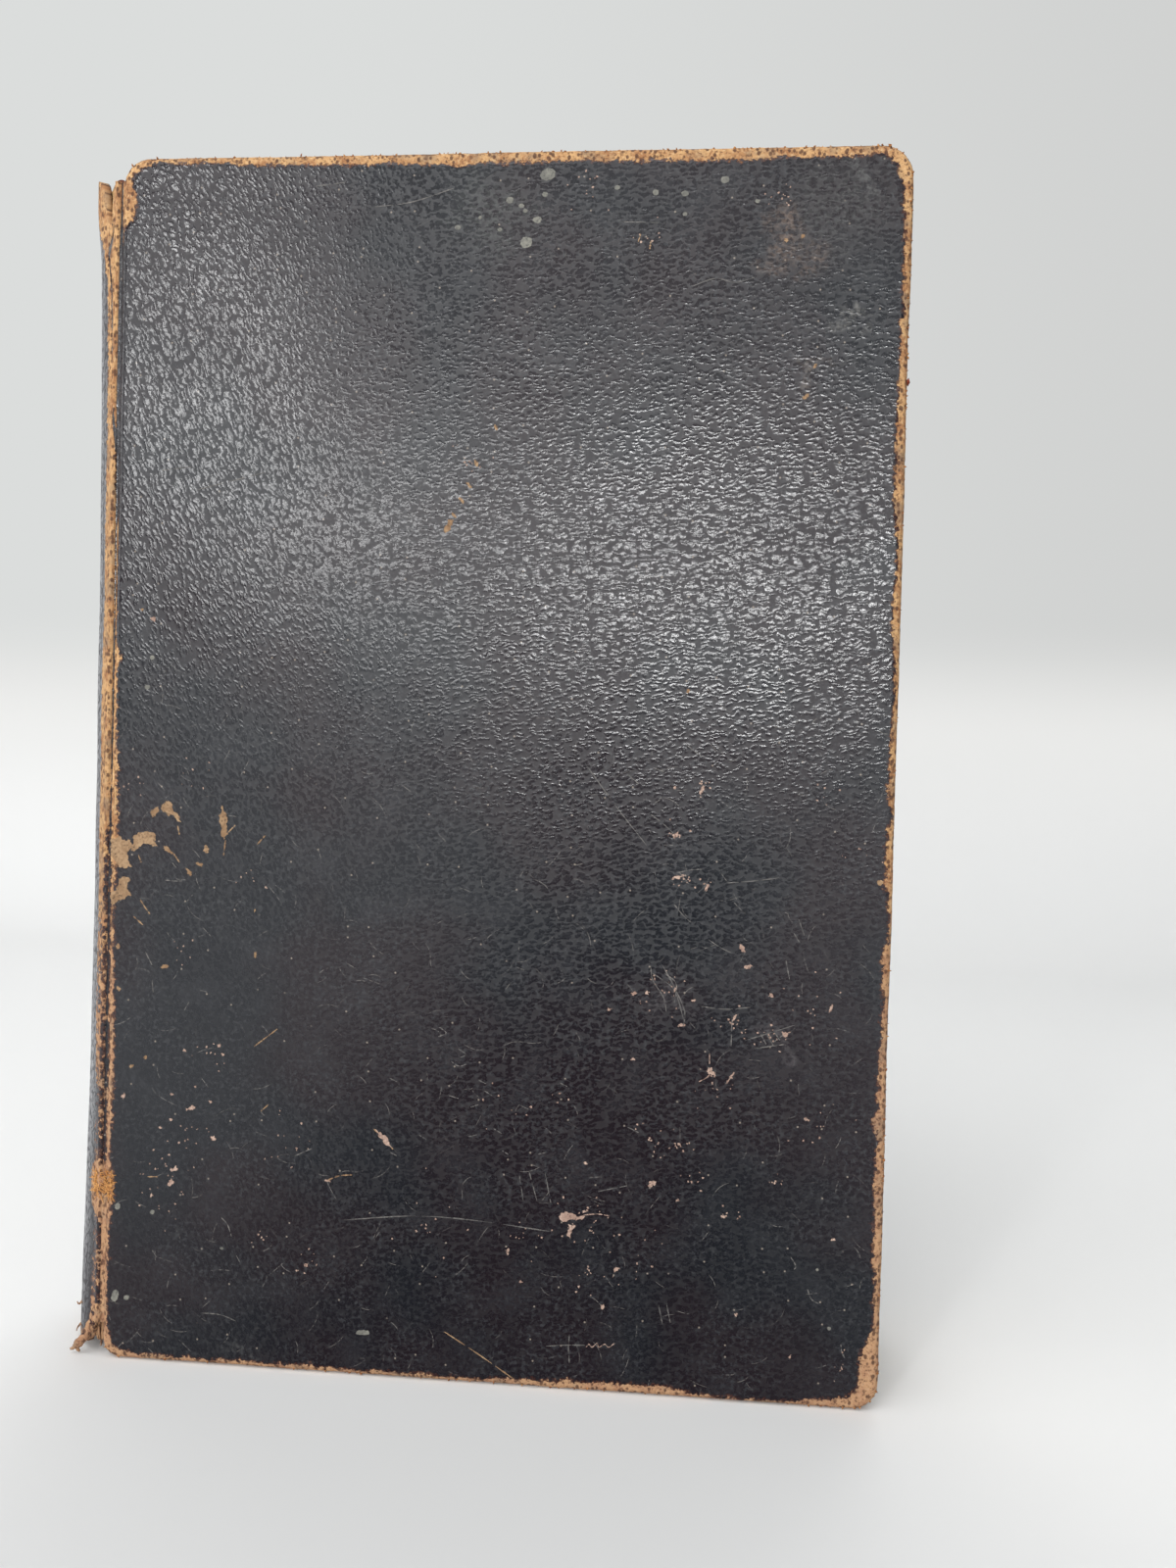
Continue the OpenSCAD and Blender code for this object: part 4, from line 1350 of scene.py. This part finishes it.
GREY_STROKES = [
    [(557, 1374), (575, 1373), (597, 1373)], [(581, 1362), (580, 1376), (581, 1391)],
    [(688, 923), (697, 934), (707, 943)], [(723, 959), (737, 968), (750, 974)],
    [(802, 980), (806, 1001)], [(664, 831), (676, 840), (688, 851)],
    [(668, 819), (672, 817), (675, 813)], [(690, 891), (704, 888), (717, 887)],
    [(676, 985), (688, 1007), (697, 1027), (699, 1038), (697, 1047)],
    [(664, 987), (666, 1000), (677, 1018), (680, 1033)], [(776, 1055), (782, 1066)],
    [(783, 1056), (789, 1067)], [(790, 1053), (796, 1062)], [(148, 971), (155, 985)],
    [(155, 1000), (156, 1013)], [(168, 898), (177, 899), (186, 899)], [(810, 952), (816, 962)],
    [(815, 938), (821, 955)], [(381, 211), (420, 206), (463, 192)],
    [(706, 292), (730, 284), (750, 288), (770, 283)], [(597, 779), (628, 822), (660, 863)],
    [(742, 901), (770, 899), (801, 895)], [(715, 1027), (740, 1030), (766, 1028)],
    [(664, 992), (676, 1000), (689, 1012), (699, 1046)], [(678, 993), (690, 1004), (688, 1024)],
    [(747, 1040), (746, 1068)], [(789, 1064), (802, 1054)], [(693, 890), (703, 902)],
    [(760, 1062), (812, 1046)], [(770, 1070), (800, 1066)], [(448, 1048), (455, 1054), (447, 1058)],
    [(467, 1070), (475, 1076), (468, 1080)], [(460, 1083), (468, 1088), (476, 1086)],
    [(397, 1100), (405, 1104)], [(488, 1102), (496, 1106)], [(494, 1113), (502, 1118)],
    [(458, 1118), (468, 1121)], [(480, 1130), (489, 1127)], [(531, 1128), (539, 1132)],
    [(571, 1105), (579, 1109)], [(427, 1158), (435, 1163)], [(478, 1160), (487, 1158)],
    [(504, 1152), (512, 1157)], [(512, 1174), (520, 1179)], [(549, 1178), (557, 1176)],
    [(398, 1176), (406, 1180)], [(527, 987), (535, 990)],
    [(351, 1245), (420, 1241), (480, 1245), (563, 1257)], [(205, 1340), (225, 1342), (244, 1350)],
    [(225, 1242), (232, 1250), (236, 1262)], [(155, 1276), (160, 1284)],
    [(824, 1316), (828, 1326), (836, 1331)], [(807, 1283), (812, 1292), (810, 1296)],
    [(858, 1372), (859, 1380), (862, 1386)], [(640, 1150), (652, 1156)], [(610, 1216), (640, 1210)],
    [(540, 1196), (548, 1226)], [(556, 1196), (562, 1228)], [(530, 1200), (534, 1226)],
    [(680, 1330), (684, 1350)], [(672, 1332), (676, 1352)], [(300, 1180), (318, 1172)],
    [(200, 500), (270, 482)], [(165, 480), (195, 476)], [(322, 190), (352, 186)],
    [(635, 226), (673, 227)], [(640, 790), (652, 800)], [(700, 760), (716, 772)],
]


# Widths of the scratches, in pixels, and corners of a blot before its edge is broken up
TAN_STROKE_W = 1.6
PINK_STROKE_W = 1.1
GREY_STROKE_W = 1.2
BLOT_CORNERS = 9


def jagged(points, rounds, roughness, dice):
    """Closed outline with every edge broken into small uneven steps."""
    points = [Vector(p) for p in points]
    for _ in range(rounds):
        finer = []
        for start, end in zip(points, points[1:] + points[:1]):
            run = end - start
            sideways = Vector((-run.y, run.x)) * dice.uniform(-roughness, roughness)
            finer += [start, (start + end) / 2 + sideways]
        points = finer
    return points


def blot(px, py, length, width, lean, dice, uneven=1.0):
    """Oval outline on the cover, as uneven as asked."""
    centre = on_cover(px, py)
    turn = Matrix.Rotation(math.radians(lean), 2)
    points = []
    for i in range(BLOT_CORNERS):
        around = 2 * math.pi * i / BLOT_CORNERS
        swell = (1 + uneven * dice.uniform(-0.4, 0.3)) * PIXEL / 2
        offset = Vector((length * swell * math.cos(around), width * swell * math.sin(around)))
        points.append(centre + turn @ offset)
    return jagged(points, 3, 0.28 * uneven, dice)


def stroke(stops, width, dice):
    """Outlines of the dashes of one scratch."""
    path = curve_through([on_cover(*s).to_3d() for s in stops], 8 * len(stops))
    dashes = []
    i = 0
    while i < len(path) - 2:
        stop = min(i + dice.randint(4, 12), len(path) - 1)
        left, right = [], []
        for j in range(i, stop + 1):
            ahead = (path[min(j + 1, len(path) - 1)] - path[max(j - 1, 0)]).to_2d().normalized()
            taper = math.sin(math.pi * (j - i + 0.6) / (stop - i + 1.2))
            half = width * PIXEL / 2 * taper * dice.uniform(0.6, 1.2)
            side = Vector((-ahead.y, ahead.x)) * half
            left.append(path[j].to_2d() + side)
            right.append(path[j].to_2d() - side)
        dashes.append(left + right[::-1])
        i = stop + dice.randint(0, 1)
    return dashes


def specks(px, py, reach, count, dice):
    """Outlines of small specks scattered round a pixel, closer together near it."""
    outlines = []
    for _ in range(count):
        turn = dice.uniform(0, 2 * math.pi)
        away = reach * dice.random()
        size = dice.uniform(1.0, 2.6)
        place = (px + away * math.cos(turn), py + away * math.sin(turn))
        outlines.append(blot(*place, size, size * dice.uniform(0.5, 1), dice.uniform(0, 180), dice))
    return outlines


MARK_LIFT = 0.025
MARK_SINK = 0.08


def mark_solid(points):
    """Thin closed flake on the front cover's outer face with the given outline."""
    flat = np.array([(p.x, p.y) for p in points])
    skin = face_relief(flat, FRONT_RELIEF_SEED)
    top = np.column_stack([JOINT_X + flat[:, 0], -OUTER_Y + skin - MARK_LIFT, flat[:, 1]])
    bottom = top + (0, MARK_LIFT + MARK_SINK, 0)
    return np.vstack([top, bottom]), tube_faces(2, len(flat))


def add_marks(name, outlines, material):
    points, faces = joined([mark_solid(points) for points in outlines])
    piece = make_piece(name, points, faces, {}, material)
    piece.data.shade_flat()
    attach(piece, "front_cover")


def add_front_marks():
    dice = random.Random(MARK_SEED)
    torn = [jagged([on_cover(*p) for p in patch], 4, 0.26, dice) for patch in TORN_PATCHES]
    torn += [blot(*b, dice) for b in TAN_BLOTS]
    for stops in TAN_STROKES:
        torn += stroke(stops, TAN_STROKE_W, dice)
    add_marks("front_tan_scuffs", torn, TAN_SCUFF)
    pink = [jagged([on_cover(*p) for p in patch], 3, 0.24, dice) for patch in PINK_PATCHES]
    pink += [blot(*b, dice, 1.4) for b in PINK_BLOTS]
    for stops in PINK_STROKES:
        pink += stroke(stops, PINK_STROKE_W, dice)
    for px, py, reach, count in SPECK_CLUSTERS:
        pink += specks(px, py, reach, count, dice)
    add_marks("front_pink_scuffs", pink, PINK_SCUFF)
    add_marks("front_pale_spots", [blot(*b, dice, 0.3) for b in PALE_BLOTS], PALE_SPOT)
    grey = []
    for stops in GREY_STROKES:
        grey += stroke(stops, GREY_STROKE_W, dice)
    add_marks("front_grey_scratches", grey, GREY_SCRATCH)


# Fraying

def crumb(place, along, length, thickness, dice):
    """Small uneven flake: an eight-sided shard."""
    along = Vector(along).normalized()
    side = along.orthogonal().normalized()
    side = Matrix.Rotation(dice.uniform(0, 6.3), 3, along) @ side
    other = along.cross(side)
    place = Vector(place)
    points = [
        place + along * length / 2, place - along * length / 2,
        place + side * thickness * dice.uniform(0.3, 0.7),
        place - side * thickness * dice.uniform(0.3, 0.7),
        place + other * thickness * dice.uniform(0.2, 0.6),
        place - other * thickness * dice.uniform(0.2, 0.6),
    ]
    faces = [(0, 2, 4), (0, 4, 3), (0, 3, 5), (0, 5, 2), (1, 4, 2), (1, 3, 4), (1, 5, 3), (1, 2, 5)]
    return points, faces


FRAY_COUNT = 500
# Width of the bare band at which every draw gives a flake
FULL_FRAY_W = 2.4
# How high flakes stay above the ground, and how far from the joint's edge
FLAKE_LOWEST = 0.35
FLAKE_CLEAR = 0.6


def edge_crumbs(side, wear, count, dice):
    """Flakes and fibres standing along a cover's worn edge."""
    bands = wear_round(wear)
    parts = []
    while len(parts) < count:
        i = dice.randrange(RING_POINTS)
        if dice.random() > bands[i] / FULL_FRAY_W:
            continue
        normal = EDGE_NORMALS[i]
        plane = COVER_EDGE[i] - normal * dice.uniform(0.25, 0.6)
        depth = dice.uniform(0.3, 1.5)
        along = (
            normal[0] + dice.uniform(-1, 1),
            side * dice.uniform(-0.6, 0.6),
            normal[1] + dice.uniform(-1, 1),
        )
        length = dice.uniform(0.35, 0.95)
        place = (JOINT_X + plane[0], side * (OUTER_Y - depth), max(plane[1], FLAKE_LOWEST))
        if abs(place[0] - JOINT_X) < FLAKE_CLEAR:
            continue
        parts.append(crumb(place, along, length, dice.uniform(0.25, 0.6), dice))
    return parts


# Larger flakes on the front cover's edge, in pixels: place, length, thickness and lean
EDGE_FLAKES = [
    (183, 161, 9, 4, 0), (188, 160, 5, 4, 70), (397, 158, 8, 3, 0), (862, 156, 10, 3, 0),
    (928, 388, 9, 4, 85), (927, 300, 6, 3, 85), (896, 1374, 24, 3, 88), (895, 1393, 8, 4, 80),
    (895, 1404, 8, 5, 40), (872, 1432, 5, 4, 70), (790, 1429, 5, 3, 70),
]


def add_front_fray():
    dice = random.Random(FRONT_FRAY_SEED)
    points, faces = joined(edge_crumbs(-1, FRONT_WEAR, FRAY_COUNT, dice))
    fray = make_piece("front_edge_fray", points, faces, {}, FRAY)
    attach(fray, "front_cover")
    parts = []
    for px, py, length, thickness, lean in EDGE_FLAKES:
        place = on_cover(px, py)
        turn = math.radians(lean)
        along = (math.cos(turn), 0, math.sin(turn))
        solid = (JOINT_X + place.x, -OUTER_Y + 1.0, max(place.y, 0.3))
        parts.append(crumb(solid, along, length * PIXEL, thickness * PIXEL * 1.4, dice))
    points, faces = joined(parts)
    flakes = make_piece("front_edge_flakes", points, faces, {}, RED_FLAKE)
    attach(flakes, "front_cover")


def add_back_fray():
    dice = random.Random(BACK_FRAY_SEED)
    points, faces = joined(edge_crumbs(1, BACK_WEAR, FRAY_COUNT, dice))
    fray = make_piece("back_edge_fray", points, faces, {}, FRAY)
    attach(fray, "back_cover")


# CAD pieces that keep their shape

CAD_FINISHES = [
    (ENDPAPER, ("front_flyleaf", "back_flyleaf", "front_pastedown", "back_pastedown")),
    (CARD, ("front_board", "back_board", "spine_liner")),
    (LINEN, ("mull", "sewing_tapes")),
]


def dress_cad():
    for material, nodes in CAD_FINISHES:
        for node in nodes:
            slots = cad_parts[node].data.materials
            slots.clear()
            slots.append(material)


# Stage, light and camera

FLOOR_HALF_W = 2.5
FLOOR_FRONT = -2.5
WALL_Y = 0.42
WALL_H = 2.6
SWEEP_R = 0.16


def stage_material():
    """Pale paper whose own glow, seen by the camera on the wall, gives the background with painted shade,
    paler low down and darker higher up and towards the right; glossy rays see a painted reflection, dark in
    the middle and bright at the sides.
    """
    g = Graph("studio_paper")
    height = g.part(g.add("TexCoord").outputs["Object"], 2)
    across = g.part(g.add("TexCoord").outputs["Object"], 0)
    wall = g.ramp(height, 0.02, 0.2)
    # The wall's glow is painted shade: paler low down, darker higher up and towards the right.
    shade = g.mix(g.ramp(across, -0.3, 0.5), srgb(219, 221, 220), srgb(208, 209, 208))
    backdrop = g.mix(g.ramp(height, 0.13, 0.22), srgb(234, 234, 232), shade)
    paths = g.add("LightPath").outputs
    glow = g.add("Emission", {"Color": backdrop, "Strength": 1.0}).outputs[0]
    # Glossy rays see a painted reflection: dark in the middle, bright at both sides.
    sides = g.mix(g.ramp(across, -0.1, 0.1), srgb(252, 253, 255), srgb(246, 246, 249))
    aside = g.math("ABSOLUTE", g.math("SUBTRACT", across, 0.01))
    painted_reflection_colour = g.mix(g.ramp(aside, 0.025, 0.14), srgb(72, 72, 78), sides)
    dim = g.add("Emission", {"Color": painted_reflection_colour, "Strength": 1.0}).outputs[0]
    seen = g.math("MULTIPLY", paths["Is Camera Ray"], wall)
    paper = g.add("MixShader", {0: seen, 1: g.shader.outputs[0], 2: glow}).outputs[0]
    paper = g.add("MixShader", {0: paths["Is Glossy Ray"], 1: paper, 2: dim}).outputs[0]
    g.put(g.tree.nodes["Material Output"].inputs[0], paper)
    return g.finish(base_color=srgb(229, 229, 228), roughness=0.95, specular_ior_level=0.1)


def add_stage():
    """Pale floor that sweeps up into a wall behind the book."""
    profile = [(FLOOR_FRONT, 0.0)]
    for turn in np.radians(np.linspace(-90, 0, 17)):
        profile.append((WALL_Y + SWEEP_R * math.cos(turn), SWEEP_R + SWEEP_R * math.sin(turn)))
    profile.append((WALL_Y + SWEEP_R, WALL_H))
    points = [(x, y, z) for x in (-FLOOR_HALF_W, FLOOR_HALF_W) for y, z in profile]
    count = len(profile)
    faces = [(i, i + 1, count + i + 1, count + i) for i in range(count - 1)]
    mesh = bpy.data.meshes.new("studio_sweep")
    mesh.from_pydata(points, [], faces)
    mesh.shade_smooth()
    mesh.materials.append(stage_material())
    sweep = bpy.data.objects.new("studio_sweep", mesh)
    bpy.context.scene.collection.objects.link(sweep)


# Softboxes: name, place, width, height and power, all turned to one target
LIGHT_TARGET = Vector((0.0, 0.0, 0.11))
SOFTBOXES = [
    ("key_softbox", (-0.3, -0.8, 1.3), 1.0, 0.7, 7.0),
    ("overhead_softbox", (0.0, -0.35, 1.4), 1.2, 0.8, 3.8),
    ("right_band_softbox", (0.09, -1.2, 0.345), 0.44, 0.05, 4.8),
    ("middle_band_softbox", (-0.36, -1.2, 0.38), 0.44, 0.12, 2.5),
    ("left_softbox", (-0.60, -1.2, 0.60), 0.14, 0.32, 3.1),
    ("upper_panel", (0.0, -1.3, 0.80), 1.3, 0.66, 1.75),
    ("left_low_panel", (-1.0, -2.4, 0.12), 1.3, 0.3, 1.1),
    ("right_low_panel", (0.5, -2.4, 0.12), 0.6, 0.3, 0.5),
    ("side_softbox", (-1.3, -0.5, 0.45), 0.9, 0.7, 6.0),
    ("back_softbox", (0.05, 0.5, 0.85), 0.6, 0.5, 2.5),
]


def add_softbox(name, place, width, height, power):
    """Soft area light at place, turned to the target."""
    lamp = bpy.data.lights.new(name, "AREA")
    lamp.shape = "RECTANGLE"
    lamp.size = width
    lamp.size_y = height
    lamp.energy = power
    holder = bpy.data.objects.new(name, lamp)
    holder.location = place
    holder.rotation_euler = (LIGHT_TARGET - Vector(place)).to_track_quat("-Z", "Y").to_euler()
    bpy.context.scene.collection.objects.link(holder)


def add_lights():
    for softbox in SOFTBOXES:
        add_softbox(*softbox)


def add_world():
    """Weak bluish light from all round, which the camera sees as pale paper."""
    world = bpy.data.worlds.new("studio")
    world.use_nodes = True
    tree = world.node_tree
    light = tree.nodes["Background"]
    light.inputs["Color"].default_value = (0.85, 0.93, 1.0, 1.0)
    light.inputs["Strength"].default_value = 0.15
    paper = tree.nodes.new("ShaderNodeBackground")
    paper.inputs["Color"].default_value = srgb(216, 218, 217)
    paper.inputs["Strength"].default_value = 1.0
    paths = tree.nodes.new("ShaderNodeLightPath")
    both = tree.nodes.new("ShaderNodeMixShader")
    tree.links.new(paths.outputs["Is Camera Ray"], both.inputs[0])
    tree.links.new(light.outputs[0], both.inputs[1])
    tree.links.new(paper.outputs[0], both.inputs[2])
    tree.links.new(both.outputs[0], tree.nodes["World Output"].inputs[0])
    bpy.context.scene.world = world


def add_camera():
    right, up, forward = camera_axes()
    camera = bpy.data.cameras.new("camera")
    camera.lens = LENS
    camera.sensor_width = SENSOR
    camera.clip_start = 0.01
    holder = bpy.data.objects.new("camera", camera)
    turn = Matrix((right, up, -forward)).transposed()
    holder.matrix_world = Matrix.Translation(CAMERA_PLACE * MM) @ turn.to_4x4()
    bpy.context.scene.collection.objects.link(holder)
    bpy.context.scene.camera = holder


add_camera()
add_covers()
add_spine()
add_tufts()
add_joints()
add_block()
add_front_marks()
add_front_fray()
add_back_fray()
dress_cad()
add_stage()
add_lights()
add_world()
bpy.context.scene.view_settings.view_transform = "Standard"
